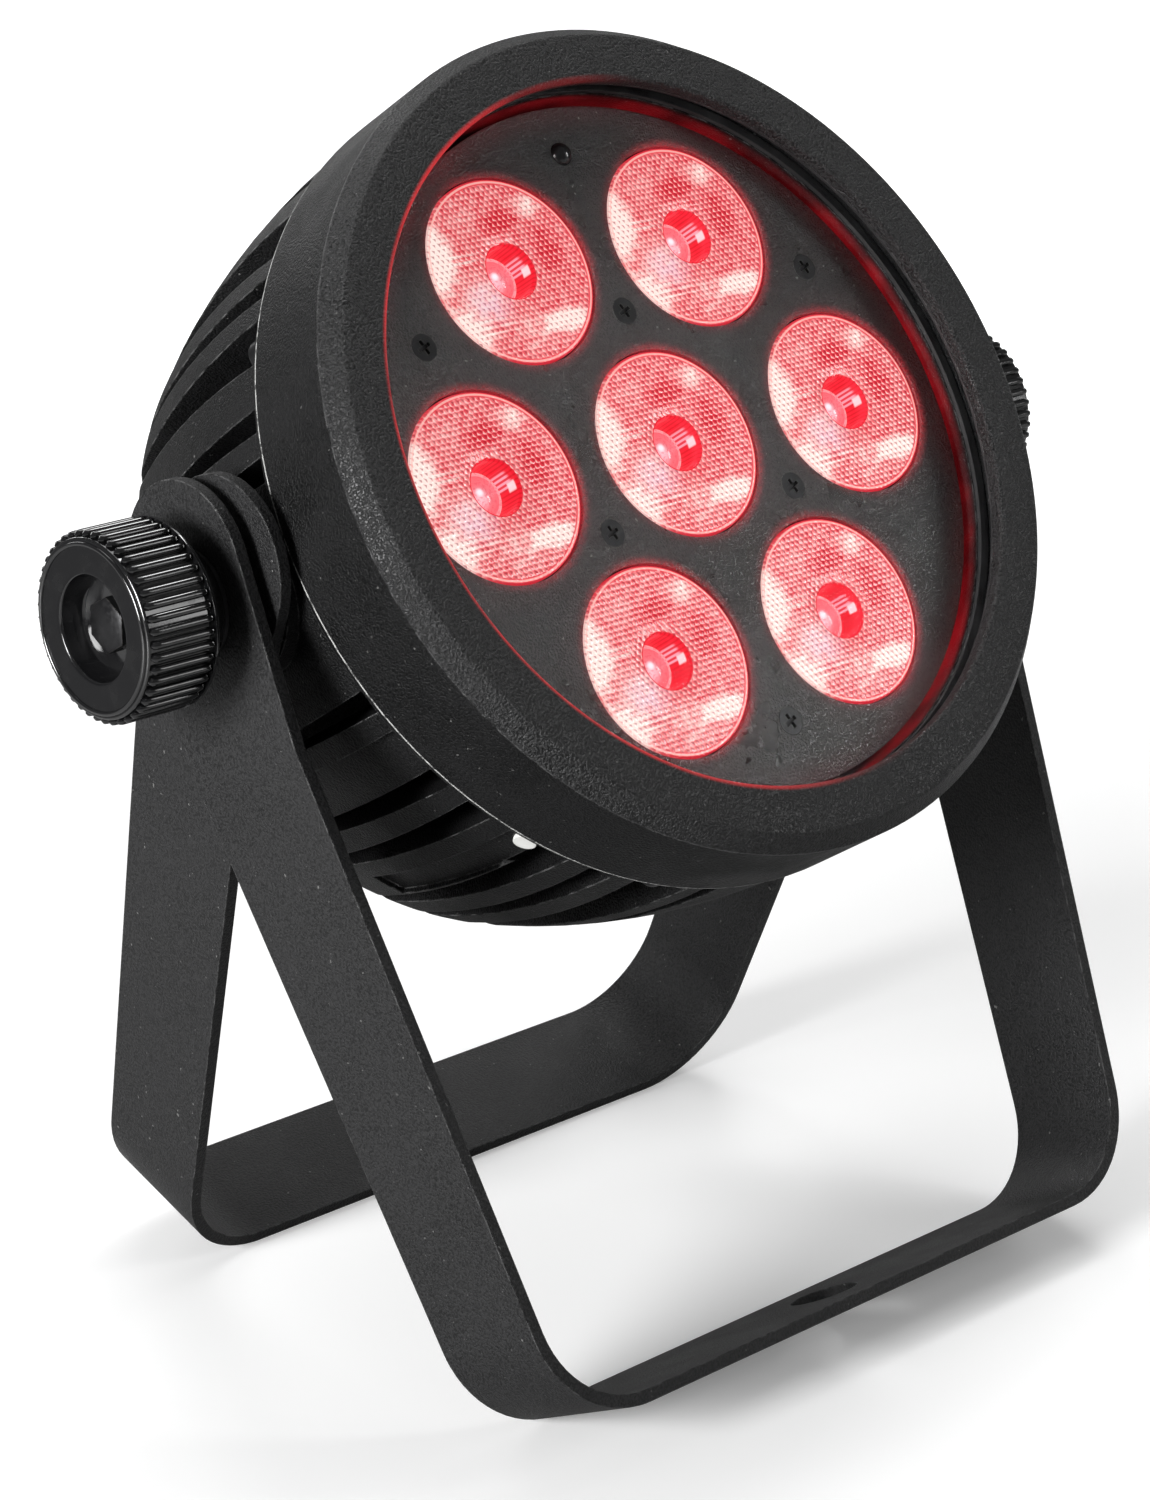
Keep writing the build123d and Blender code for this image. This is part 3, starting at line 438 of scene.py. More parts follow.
def lathe(name, profile, zones, materials, place, steps):
    """Turns a closed profile of (radius, height) points in millimetres about the Z axis of a place.

    Each stretch between two points has a zone, the index of its material."""
    mesh = bmesh.new()
    rings = []
    for radius, height in profile:
        if radius < 1e-6:
            rings.append([mesh.verts.new((0, 0, height * mm))])
            continue
        ring = []
        for step in range(steps):
            angle = 2 * math.pi * step / steps
            x = radius * math.cos(angle) * mm
            y = radius * math.sin(angle) * mm
            ring.append(mesh.verts.new((x, y, height * mm)))
        rings.append(ring)
    closed = profile[0][0] > 1e-6
    pairs = list(zip(rings, rings[1:])) + ([(rings[-1], rings[0])] if closed else [])
    for (one, two), zone in zip(pairs, zones):
        for step in range(steps):
            after = (step + 1) % steps
            if len(one) == 1:
                corners = [one[0], two[step], two[after]]
            elif len(two) == 1:
                corners = [one[step], two[0], one[after]]
            else:
                corners = [one[step], two[step], two[after], one[after]]
            face = mesh.faces.new(corners)
            face.material_index = zone
            face.smooth = True
    bmesh.ops.recalc_face_normals(mesh, faces=mesh.faces)
    data = bpy.data.meshes.new(name)
    mesh.to_mesh(data)
    mesh.free()
    for material in materials:
        data.materials.append(material)
    local = data.attributes.new("local_mm", "FLOAT_VECTOR", "POINT")
    for index, vertex in enumerate(data.vertices):
        local.data[index].vector = vertex.co / mm
    data.set_sharp_from_angle(angle=math.radians(35))
    data.transform(place)
    made = bpy.data.objects.new(name, data)
    bpy.context.scene.collection.objects.link(made)
    return made


def arc(centre, radius, start, end, steps):
    """Points on an arc, with its angles in degrees."""
    angles = [math.radians(start + (end - start) * step / steps) for step in range(steps + 1)]
    return [(centre[0] + radius * math.cos(a), centre[1] + radius * math.sin(a)) for a in angles]


low, high = head_corners("front_bezel")
gasket_top = head_corners("bezel_gasket")[1].z
pocket_radius = head_corners("front_glass")[1].x + 0.3
opening_radius = 74.7
face_radius = 84.6
edge_rise = 0.25
lip_round = 0.9
face_round = 0.7
outer_round = 0.35
bevel_fall = math.degrees(math.atan2(high.z - low.z - edge_rise, high.x - face_radius))
turn_in = face_round * math.tan(math.radians(bevel_fall / 2))
bezel_profile = [(opening_radius, gasket_top)]
bezel_profile += arc((opening_radius + lip_round, high.z - lip_round), lip_round, 180, 90, 8)
bezel_profile += arc((face_radius - turn_in, high.z - face_round), face_round, 90, 90 - bevel_fall, 6)
bezel_profile += arc((high.x - outer_round, low.z + 0.42), outer_round, 90 - bevel_fall, 0, 4)
bezel_profile += [(high.x, low.z), (pocket_radius, low.z), (pocket_radius, gasket_top)]
ring_coat, tree, shader = coated(
    "ring_coat", 0.36, Grain_Size=0.00052, Grain_Depth=0.9, Smooth=0.34, Rough=0.46,
    Dark=(0.002, 0.002, 0.0022, 1), Light=(0.022, 0.022, 0.0225, 1), Wear=0.9)
# a painted red glow on the lip's inner edge, on the left, stands in for the lenses' light catching it
place = local_place(tree)
axes = split_axes(tree, place)
uneven = fade(tree, noise(tree, object_place(tree), 0.02), 0.3, 0.6, 0.45, 1.0)
lip = product(tree, fade(tree, radial(tree, place), 76.0, 75.1), fade(tree, axes["Z"], 44.6, 46.2),
              fade(tree, axes["X"], 20, -45), uneven)
shine(tree, shader, mix_colour(tree, lip, (0.0, 0.0, 0.0), (0.55, 0.02, 0.025)))
bezel_ring = lathe("bezel_ring", bezel_profile, [0] * len(bezel_profile), [ring_coat], head_place, 180)
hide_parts("front_bezel")
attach(bezel_ring, "head")

# ---- Yokes ----
# Two strips of steel, bent to a U and powder-coated with a finer grain than the castings.
# The coat is painted pale along the strips' edges, partly as wear and partly as a painted highlight. Two thin
# spacers keep the strips apart at the pivot.
strip_coat = coated(
    "strip_coat", 0.24, Grain_Size=0.0005, Grain_Depth=0.4, Smooth=0.4, Rough=0.52,
    Dark=(0.005, 0.005, 0.0052, 1), Light=(0.02, 0.02, 0.0205, 1), Wear=0.75, Dust=0.35)[0]
dress(strip_coat, "front_bracket", "rear_bracket", "left_spacer", "right_spacer")

# ---- Lens plate ----
# Pressed and coated steel. A thin red halo round each lens is painted on it as a glow, brighter on each lens's
# right, and a red glow is painted along its rim, strongest on the upper left.
# Six blackened countersunk screws hold it, and a sensor's dome stands in its small hole near the top.
lens_low, lens_high = head_corners("lens_1")
lens_radius = (lens_high.x - lens_low.x) / 2
painted_lens_halo, given, made = new_group(
    "painted_lens_halo",
    [("Rim", "Float", lens_radius + 0.5), ("Width", "Float", 2.5)],
    [("Color", "Color")],
)
tree = painted_lens_halo
place = head_mm(tree)
flat = vector_node(tree, "MULTIPLY", place, (1, 1, 0))
nearest = None
side = None
for index in range(1, 8):
    low, high = head_corners(f"lens_{index}")
    centre = ((low.x + high.x) / 2, (low.y + high.y) / 2, 0.0)
    offset = vector_node(tree, "SUBTRACT", flat, centre)
    away = vector_node(tree, "LENGTH", offset)
    slant = vector_node(tree, "DOT_PRODUCT", offset, (0.045, 0.02, 0.0))
    toward = product(tree, slant, fade(tree, away, 24.5, 24.0))
    nearest = away if nearest is None else math_node(tree, "MINIMUM", nearest, away)
    side = toward if side is None else total(tree, side, toward)
beyond = math_node(tree, "SUBTRACT", nearest, given.outputs["Rim"])
ragged = noise(tree, object_place(tree), 0.0009, 2.0)
beyond = total(tree, beyond, product(tree, ragged, 1.3))
part = math_node(tree, "DIVIDE", beyond, given.outputs["Width"])
# painted red halo round each lens, brighter on its right
painted_ring_glow = math_node(tree, "POWER", fade(tree, part, 1.15, 0.0), 1.5)
painted_ring_glow = product(tree, painted_ring_glow, fade(tree, side, -0.9, 0.7, 0.3, 1.0))
wide_level = product(tree, fade(tree, part, 3.6, 0.0), 0.03)
# painted red glow along the plate's rim, strongest on the upper left
at_side = fade(tree, vector_node(tree, "DOT_PRODUCT", flat, (-0.9, 0.3, 0.0)), 20, 66, 0.07, 0.3)
near_rim = fade(tree, vector_node(tree, "LENGTH", flat), 64, 74)
painted_rim_glow = product(tree, math_node(tree, "POWER", near_rim, 2.0), at_side)
uneven = fade(tree, noise(tree, object_place(tree), 0.014), 0.3, 0.65, 0.6, 1.15)
fine = fade(tree, noise(tree, object_place(tree), 0.00045, 1.0), 0.32, 0.62, 0.45, 1.2)
level = product(tree, total(tree, painted_ring_glow, wide_level, painted_rim_glow), uneven, fine)
link(tree, mix_colour(tree, level, (0.0, 0.0, 0.0), (0.3, 0.015, 0.022)), made.inputs["Color"])
plate_coat, tree, shader = coated(
    "plate_coat", 0.95, Grain_Size=0.0005, Grain_Depth=0.8, Smooth=0.26, Rough=0.33,
    Dark=(0.001, 0.001, 0.001, 1), Light=(0.03, 0.028, 0.027, 1), Dust=0.9)
# the plate's painted red halo and rim glow
halo = place_group(tree, painted_lens_halo)
shine(tree, shader, halo.outputs["Color"])
dress(plate_coat, "lens_plate")

# Blackened steel: an even dark oxide with pale, rubbed edges.
black_oxide, given, made = new_group(
    "black_oxide",
    [("Dark", "Color", (0.012, 0.012, 0.013, 1)),
     ("Rubbed", "Color", (0.22, 0.21, 0.2, 1)),
     ("Streak Size", "Float", 0.0007), ("Wear", "Float", 0.6)],
    [("Color", "Color"), ("Roughness", "Float"), ("Normal", "Vector")],
)
tree = black_oxide
place = object_place(tree)
streaks = noise(tree, place, given.outputs["Streak Size"], 4.0, 0.65)
edges, rounded = edge_mask(tree, 0.0003)
pale_marks = product(tree, edges, fade(tree, streaks, 0.35, 0.6), given.outputs["Wear"])
pale_marks = math_node(tree, "MAXIMUM", pale_marks, fade(tree, streaks, 0.62, 0.85, 0.0, 0.2))
link(tree, mix_colour(tree, pale_marks, given.outputs["Dark"], given.outputs["Rubbed"]), made.inputs["Color"])
link(tree, fade(tree, streaks, 0.3, 0.7, 0.28, 0.5), made.inputs["Roughness"])
relief(tree, streaks, 0.15, 0.0001, made.inputs["Normal"], rounded)


def metal(name, metallic, **values):
    """Metal whose finish comes from the oxide group."""
    material, tree, shader = finished(name, black_oxide, **values)
    shader.inputs["Metallic"].default_value = metallic
    return material


screw_finish = metal("black_screw", 0.6)
for group in ("plate", "bezel", "panel", "board", "circuit", "display"):
    dress(screw_finish, f"{group}_screws")


# Moulded plastic: a faint sheen pattern, fine scratches and softened edges.
moulding, given, made = new_group(
    "moulding",
    [("Colour", "Color", (0.014, 0.014, 0.015, 1)),
     ("Haze", "Color", (0.04, 0.04, 0.041, 1)),
     ("Smooth", "Float", 0.16), ("Rough", "Float", 0.34),
     ("Texture", "Float", 0.12), ("Edge", "Float", 0.0003)],
    [("Color", "Color"), ("Roughness", "Float"), ("Normal", "Vector")],
)
tree = moulding
place = object_place(tree)
flow = noise(tree, place, 0.006, 4.0, 0.6)
grain = noise(tree, place, 0.0004, 2.0)
scratches = noise(tree, vector_node(tree, "MULTIPLY", place, (1.0, 9.0, 2.0)), 0.002, 6.0, 0.75)
scratches = fade(tree, scratches, 0.62, 0.72)
hazy = math_node(tree, "MAXIMUM", fade(tree, flow, 0.45, 0.75, 0.0, 0.45),
                 product(tree, scratches, 0.5))
link(tree, mix_colour(tree, hazy, given.outputs["Colour"], given.outputs["Haze"]), made.inputs["Color"])
gloss = math_node(tree, "MAXIMUM", fade(tree, flow, 0.35, 0.7), product(tree, scratches, 0.8))
gloss = fade(tree, gloss, 0.0, 1.0, given.outputs["Smooth"], given.outputs["Rough"])
link(tree, gloss, made.inputs["Roughness"])
edges, rounded = edge_mask(tree, given.outputs["Edge"])
relief(tree, grain, given.outputs["Texture"], 0.0001, made.inputs["Normal"], rounded)


def moulded(name, **values):
    """A moulded plastic, rubber or ceramic, its tree and its shader."""
    return finished(name, moulding, **values)


sensor_dome = moulded("sensor_dome", Smooth=0.06, Rough=0.16, Texture=0.02)[0]
dress(sensor_dome, "sensor_window")

# ---- Lenses ----
# Seven clear acrylic collimators: bells with a pebbled face and a fluted well, lit in red from the base.
# The bell's side sits in its cup. Their light is painted on as a glow: face, well, domed floor and the bell's side
# each glow in a painted pattern, with painted highlights and reflections.


def ramp(tree, factor, *stops):
    """A colour ramp from (position, colour) stops."""
    node = tree.nodes.new("ShaderNodeValToRGB")
    elements = node.color_ramp.elements
    elements[0].position = stops[0][0]
    elements[0].color = (*stops[0][1], 1)
    elements[1].position = stops[-1][0]
    elements[1].color = (*stops[-1][1], 1)
    for position, colour in stops[1:-1]:
        elements.new(position).color = (*colour, 1)
    link(tree, factor, node.inputs["Fac"])
    return node.outputs["Color"]


def patch(tree, place, centre, size, strength=1.0, core=0.0):
    """Soft oval patch: its strength at the centre, 0 outside."""
    moved = vector_node(tree, "SUBTRACT", place, (*centre, 0.0))
    scaled = vector_node(tree, "MULTIPLY", moved, (1 / size[0], 1 / size[1], 0.0))
    return fade(tree, vector_node(tree, "LENGTH", scaled), core, 1.0, strength, 0.0)


# Round pebbles in staggered rows: the height is 1 on top of a pebble and 0 where pebbles meet.
pebbles, given, made = new_group(
    "pebble_rows",
    [("Place", "Vector", (0, 0, 0)), ("Pitch", "Float", 1.1)],
    [("Height", "Float")],
)
tree = pebbles
row_ratio = math.sqrt(3)
pitch_size = tree.nodes.new("ShaderNodeCombineXYZ")
link(tree, given.outputs["Pitch"], pitch_size.inputs["X"])
link(tree, product(tree, given.outputs["Pitch"], row_ratio), pitch_size.inputs["Y"])
pitch_size.inputs["Z"].default_value = 1.0
cell = vector_node(tree, "DIVIDE", given.outputs["Place"], pitch_size.outputs[0])
distances = []
for offset in ((0.0, 0.0, 0.0), (0.5, 0.5, 0.0)):
    shifted = vector_node(tree, "FRACTION", vector_node(tree, "ADD", cell, offset))
    centred = vector_node(tree, "SUBTRACT", shifted, (0.5, 0.5, 0.0))
    flat = vector_node(tree, "MULTIPLY", centred, (1.0, row_ratio, 0.0))
    distances.append(vector_node(tree, "LENGTH", flat))
nearest = math_node(tree, "MINIMUM", *distances)
slope = product(tree, nearest, 1.75)
height = math_node(tree, "SUBTRACT", 1.0, product(tree, slope, slope))
link(tree, height, made.inputs["Height"])


# The glow painted on a face: deep red between the pebbles, salmon on them, and painted cream reflections where the
# bell's side
# would mirror the emitter: along the left edge, low on the left, and in two small patches on the right.
painted_face_light, given, made = new_group(
    "painted_face_light",
    [("Place", "Vector", (0, 0, 0)), ("Pitch", "Float", 1.3)],
    [("Color", "Color"), ("Height", "Float")],
)
tree = painted_face_light
place = given.outputs["Place"]
axes = split_axes(tree, place)
flat_place = vector_node(tree, "MULTIPLY", place, (1.0, 1.0, 0.0))
reach = vector_node(tree, "LENGTH", flat_place)
warp = tree.nodes.new("ShaderNodeTexNoise")
warp.inputs["Scale"].default_value = 0.7
link(tree, flat_place, warp.inputs["Vector"])
warp = vector_node(tree, "MULTIPLY", vector_node(tree, "SUBTRACT", warp.outputs["Color"], (0.5, 0.5, 0.5)),
                   (0.5, 0.5, 0.0))
rows_place = vector_node(tree, "ADD", flat_place, warp)
mottle = noise(tree, flat_place, 1.9, 3.0, 0.6)
streaks = noise(tree, vector_node(tree, "MULTIPLY", flat_place, (0.3, 1.6, 0.0)), 1.6, 2.0)
cream = total(
    tree,
    patch(tree, place, (-20.0, 6.0), (10.0, 12.0), 1.4, 0.2),
    patch(tree, place, (-16.5, -11.5), (9.0, 9.0), 0.9, 0.15),
    patch(tree, place, (9.5, -12.0), (9.5, 3.6), 0.8, 0.25),
    patch(tree, place, (9.8, 12.8), (5.0, 3.8), 0.5, 0.2),
    patch(tree, place, (-9.5, -4.0), (7.0, 7.0), 0.42, 0.1),
    patch(tree, place, (0.5, -13.0), (9.0, 7.0), 0.28, 0.0),
    patch(tree, place, (-6.0, 12.0), (9.0, 7.0), 0.12, 0.0),
    fade(tree, mottle, 0.3, 0.7, 0.12, 0.46),
    patch(tree, place, (1.5, 10.5), (7.5, 4.0), -0.4, 0.1),
    patch(tree, place, (11.0, 2.5), (4.5, 7.5), -0.35, 0.1),
)
cream = product(tree, cream, fade(tree, streaks, 0.25, 0.7, 0.75, 1.15))
# fine level lines, left of the well and low on the left
lines = math_node(tree, "FRACT", product(tree, axes["Y"], 0.72))
lines = fade(tree, math_node(tree, "ABSOLUTE", math_node(tree, "SUBTRACT", lines, 0.5)), 0.3, 0.1)
near = total(tree, patch(tree, place, (-11.5, 4.2), (8.0, 1.7), 1.0, 0.5),
                 patch(tree, place, (-9.0, -10.0), (8.0, 3.0), 0.8, 0.4))
cream = total(tree, cream, product(tree, lines, near, 0.4))
tone = ramp(tree, cream, (0.0, (0.66, 0.012, 0.03)), (0.2, (0.76, 0.09, 0.11)),
            (0.5, (0.86, 0.3, 0.3)), (0.95, (1.0, 0.87, 0.8)))
blots = fade(tree, noise(tree, flat_place, 2.6, 3.0, 0.6), 0.35, 0.6, 0.35, 1.0)
# a painted lilac image of the well's dome, as seen through the face left of the well
painted_dome_image = product(tree, patch(tree, place, (-8.0, -5.5), (8.0, 6.5), 0.8, 0.1), blots)
tone = mix_colour(tree, painted_dome_image, tone, (0.84, 0.6, 0.7))
# each pebble is painted bright on one side and dark on the other: a painted highlight and a painted shade
shifted_place = vector_node(tree, "ADD", rows_place, (0.34, 0.22, 0.0))
rows = place_group(tree, pebbles, Pitch=given.outputs["Pitch"], Place=rows_place)
shifted = place_group(tree, pebbles, Pitch=given.outputs["Pitch"], Place=shifted_place)
emboss = math_node(tree, "SUBTRACT", rows.outputs["Height"], shifted.outputs["Height"])
painted_pebble_shade = product(tree, fade(tree, emboss, 0.1, 0.6), 0.8)
tone = mix_colour(tree, painted_pebble_shade, tone, mix_colour(tree, 1.0, tone, (0.36, 0.2, 0.22), "MULTIPLY"))
painted_pebble_highlight = product(tree, fade(tree, emboss, -0.12, -0.6), 0.66)
tone = mix_colour(tree, painted_pebble_highlight, tone, (1.0, 0.78, 0.72))
# smooth rim: pale on the left, and on the right a thin painted highlight line between two clear red bands
on_right = fade(tree, axes["X"], -14.0, -4.0)
painted_rim_highlight = product(tree, fade(tree, reach, 18.8, 19.0), fade(tree, reach, 19.4, 19.2))
red_band = product(tree, fade(tree, reach, 18.4, 18.75), on_right)
tone = mix_colour(tree, red_band, tone, (0.72, 0.06, 0.075))
tone = mix_colour(tree, product(tree, painted_rim_highlight, 0.75), tone, (1.0, 0.55, 0.5))
outer = fade(tree, on_right, 0.0, 1.0, 0.35, 1.0)
outer = product(tree, fade(tree, reach, 19.35, 19.55), outer)
tone = mix_colour(tree, outer, tone, (0.55, 0.02, 0.035))
link(tree, tone, made.inputs["Color"])
link(tree, rows.outputs["Height"], made.inputs["Height"])


def painted_glow_acrylic(name, colour, base=(0.25, 0.02, 0.03)):
    """Clear acrylic, drawn opaque, whose light is painted on as a glow from a colour socket, under a polished
    skin.
    """
    material, tree, shader = new_material(name)
    shine(tree, shader, colour(tree, shader))
    shader.inputs["Base Color"].default_value = (*base, 1)
    shader.inputs["Roughness"].default_value = 0.12
    shader.inputs["IOR"].default_value = 1.49
    return material


def pebbled_face(tree, shader):
    """Pebbles with their light painted on as a glow from inside, and standing proud a little."""
    light = place_group(tree, painted_face_light, Place=local_place(tree))
    relief(tree, light.outputs["Height"], 0.3, 0.0002, shader.inputs["Normal"])
    return light.outputs["Color"]


def fluted_wall(tree, shader):
    """Deep red glow, with narrow upright flutes that carry a painted lilac highlight on the far side and a small
    painted pale glint.
    """
    axes = split_axes(tree, local_place(tree))
    angle = math_node(tree, "ARCTAN2", axes["Y"], axes["X"])
    wave = math_node(tree, "SINE", product(tree, angle, 36.0))
    red = ramp(tree, fade(tree, wave, -1.0, 0.2), (0.0, (0.62, 0.006, 0.014)), (1.0, (0.8, 0.012, 0.028)))
    # painted lilac highlight on the flutes, on the far side
    lit = product(tree, fade(tree, angle, -0.1, 0.05), fade(tree, angle, 0.75, 0.5),
                  fade(tree, axes["Z"], -1.2, -2.6), fade(tree, wave, -0.3, 0.4, 0.1, 0.8))
    lilac = mix_colour(tree, lit, red, (0.85, 0.45, 0.56))
    # small painted pale glint on the wall
    across = fade(tree, math_node(tree, "ABSOLUTE", angle), 0.22, 0.12)
    upright = fade(tree, math_node(tree, "ABSOLUTE", total(tree, axes["Z"], 2.2)), 1.4, 0.9)
    return mix_colour(tree, product(tree, across, upright, 0.85), lilac, (0.96, 0.8, 0.84))


def domed_floor(tree, shader):
    """Pink dome glow, with the emitter's white image painted on its near side as a pale highlight and a white
    glint, and a redder edge.
    """
    place = local_place(tree)
    reach = math_node(tree, "DIVIDE", radial(tree, place), 6.0)
    pink = ramp(tree, reach, (0.0, (0.82, 0.2, 0.24)), (0.7, (0.84, 0.16, 0.19)),
                (0.9, (0.9, 0.4, 0.42)), (1.0, (0.75, 0.04, 0.06)))
    # painted pale image of the emitter on the dome's near side
    glow = patch(tree, place, (-1.6, -0.8), (2.8, 3.4), 0.8, 0.0)
    pink = mix_colour(tree, glow, pink, (0.95, 0.66, 0.74))
    grain = noise(tree, place, 0.5, 2.0)
    pink = mix_colour(tree, fade(tree, grain, 0.5, 0.62, 0.0, 0.5), pink, (0.7, 0.08, 0.12))
    painted_white_glint = patch(tree, place, (-1.2, 0.6), (1.1, 1.2), 1.0, 0.2)
    return mix_colour(tree, painted_white_glint, pink, (1.0, 0.93, 1.0))


def bell_light(tree, shader):
    """Painted salmon glow with streaks, seen only through the cups' open tops."""
    streaks = tree.nodes.new("ShaderNodeTexNoise")
    streaks.inputs["Scale"].default_value = 0.5
    link(tree, local_place(tree), streaks.inputs["Vector"])
    return ramp(tree, streaks.outputs["Fac"], (0.3, (0.6, 0.03, 0.04)), (0.7, (0.85, 0.25, 0.25)))


bell_height = lens_high.z - lens_low.z
rim_height = 1.6
rim_round = 0.5
base_radius = 7.0
base_height = 1.8
cup_radius = 4.6
cup_depth = 3.4
well_radius = 5.6
well_depth = 6.2
floor_radius = 4.9
dome_rise = 2.6
dome_radius = (floor_radius ** 2 + dome_rise ** 2) / (2 * dome_rise)
dome_half = math.degrees(math.asin(floor_radius / dome_radius))
dome = arc((0, -well_depth + dome_rise - dome_radius), dome_radius, 90, 90 - dome_half, 8)
dome[0] = (0, dome[0][1])
well_edge = [(well_radius - 0.3, -well_depth + 0.1), (well_radius - 0.15, -well_depth + 0.6)]
well_edge += [(well_radius, -0.6), (well_radius + 0.15, -0.2)]
face = [(well_radius + 0.5, 0)] + [(radius, 0) for radius in (9, 12, 15, 17.5, lens_radius - 0.9)]
rim = arc((lens_radius - rim_round, -rim_round), rim_round, 90, 0, 5) + [(lens_radius, -rim_height)]
bell_base = [(base_radius, base_height - bell_height), (base_radius, -bell_height)]
bell_base += [(cup_radius, -bell_height)]
recess = [(cup_radius, cup_depth - bell_height), (0, cup_depth - bell_height)]
# the bell's side is an arc from under the rim to the base
bell_round = 26.0
side_top = Vector((lens_radius, -rim_height))
side_foot = Vector((base_radius, base_height - bell_height))
chord = side_foot - side_top
inward = Vector((chord.y, -chord.x)).normalized() * math.sqrt(bell_round ** 2 - (chord.length / 2) ** 2)
bell_centre = (side_foot + side_top) / 2 + inward
bell_start, bell_end = [math.degrees(math.atan2(end.y - bell_centre.y, end.x - bell_centre.x))
                        for end in (side_top, side_foot)]
bell_side = arc(bell_centre, bell_round, bell_start, bell_end, 12)[1:-1]
profile = dome + well_edge + face + rim + bell_side + bell_base + recess
zones = [2] * len(dome) + [1] * len(well_edge) + [0] * (len(face) + len(rim))
zones += [3] * (len(bell_side) + len(bell_base) + len(recess))
lens_materials = [
    painted_glow_acrylic("pebbled_acrylic", pebbled_face),
    painted_glow_acrylic("fluted_acrylic", fluted_wall),
    painted_glow_acrylic("domed_acrylic", domed_floor),
    painted_glow_acrylic("bell_acrylic", bell_light),
]
for index in range(1, 8):
    low, high = head_corners(f"lens_{index}")
    place = head_place @ Matrix.Translation(Vector(((low.x + high.x) / 2, (low.y + high.y) / 2, high.z)) * mm)
    lens = lathe(f"collimator_{index}", profile, zones, lens_materials, place, 72)
    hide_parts(f"lens_{index}")
    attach(lens, "head")

# ---- Front glass and seals ----
# A flat disc of clear toughened glass, clamped between two black silicone rings.
# The rings are painted with the chamber's red glow.
clear_glass, tree, shader = new_material("clear_glass")
shader.inputs["Base Color"].default_value = (0.98, 0.985, 0.985, 1)
# the index is near that of air, so the plate behind the glass shows in its true place
shader.inputs["IOR"].default_value = 1.04
shader.inputs["Transmission Weight"].default_value = 1.0
smears = noise(tree, object_place(tree), 0.02, 5.0, 0.7)
link(tree, fade(tree, smears, 0.4, 0.8, 0.0, 0.03), shader.inputs["Roughness"])
path = tree.nodes.new("ShaderNodeLightPath")
hidden = math_node(tree, "MAXIMUM", path.outputs["Is Shadow Ray"], path.outputs["Is Diffuse Ray"])
link(tree, math_node(tree, "SUBTRACT", 1.0, hidden), shader.inputs["Alpha"])
dress(clear_glass, "front_glass")

seal_rubber, tree, shader = moulded("seal_rubber", Smooth=0.55, Rough=0.75, Texture=0.4)
# painted red glow of the chamber on the seals
paint_red_glow(tree, shader, From_Radius=74.2, To_Radius=75.2)
dress(seal_rubber, "glass_seal", "bezel_gasket", "panel_gasket")

# ---- Lens carrier, boards and emitters ----
# A black carrier holds the lenses over the emitters, which are soldered to a round aluminium-core board.
# The driver and supply boards stand on brass pillars, and the display's board is behind its window.
carrier_plastic = moulded("carrier_plastic", Smooth=0.4, Rough=0.6, Texture=0.3)[0]
dress(carrier_plastic, "lens_carrier")

board_tracks, given, made = new_group(
    "board_tracks",
    [("Mask", "Color", (0.008, 0.07, 0.025, 1)),
     ("Track", "Color", (0.02, 0.15, 0.055, 1)),
     ("Pitch", "Float", 0.004)],
    [("Color", "Color"), ("Roughness", "Float"), ("Normal", "Vector")],
)
tree = board_tracks
place = object_place(tree)
cells = tree.nodes.new("ShaderNodeTexVoronoi")
cells.distance = "CHEBYCHEV"
cells.inputs["Randomness"].default_value = 0.8
link(tree, place, cells.inputs["Vector"])
link(tree, math_node(tree, "DIVIDE", 1.0, given.outputs["Pitch"]), cells.inputs["Scale"])
track = math_node(tree, "FRACT", product(tree, cells.outputs["Distance"], 4.0))
track = fade(tree, track, 0.45, 0.55)
pads = fade(tree, cells.outputs["Distance"], 0.1, 0.07)
shade = mix_colour(tree, track, given.outputs["Mask"], given.outputs["Track"])
shade = mix_colour(tree, pads, shade, (0.5, 0.48, 0.42))
link(tree, shade, made.inputs["Color"])
link(tree, fade(tree, pads, 0.0, 1.0, 0.35, 0.2), made.inputs["Roughness"])
relief(tree, total(tree, track, pads), 0.4, 0.0001, made.inputs["Normal"])


def board(name, **values):
    """Solder mask over copper tracks, with bright solder pads."""
    return finished(name, board_tracks, **values)[0]


dress(board("emitter_board", Mask=(0.55, 0.55, 0.53, 1), Track=(0.7, 0.7, 0.68, 1), Pitch=0.012), "led_board")
dress(board("circuit_board"), "driver_board", "power_supply_board", "display_board")

emitter_dome, tree, shader = moulded("emitter_dome", Colour=(0.75, 0.2, 0.06, 1), Haze=(0.85, 0.4, 0.12, 1),
                                     Smooth=0.1, Rough=0.2)
glow = fade(tree, noise(tree, object_place(tree), 0.0012), 0.3, 0.7)
shine(tree, shader, mix_colour(tree, glow, (0.9, 0.05, 0.05), (1.0, 0.5, 0.4)))
dress(emitter_dome, "led_emitters")

brass = metal("turned_brass", 1.0, Dark=(0.55, 0.36, 0.12, 1), Rubbed=(0.8, 0.62, 0.3, 1), Streak_Size=0.0005)
dress(brass, "board_pillars", "signal_pins", "left_insert", "right_insert")

# ---- Rear panel ----
# A round steel panel closes the drum. It carries the sockets, the display's window and its four buttons.
# Eight screws hold it, and a steel eye for a safety rope is bolted through the drum's back above it.
panel_coat = coated("panel_coat", Grain_Size=0.0005, Grain_Depth=0.25, Dust=0.4,
                    Light=(0.024, 0.024, 0.025, 1))[0]
dress(panel_coat, "rear_panel")

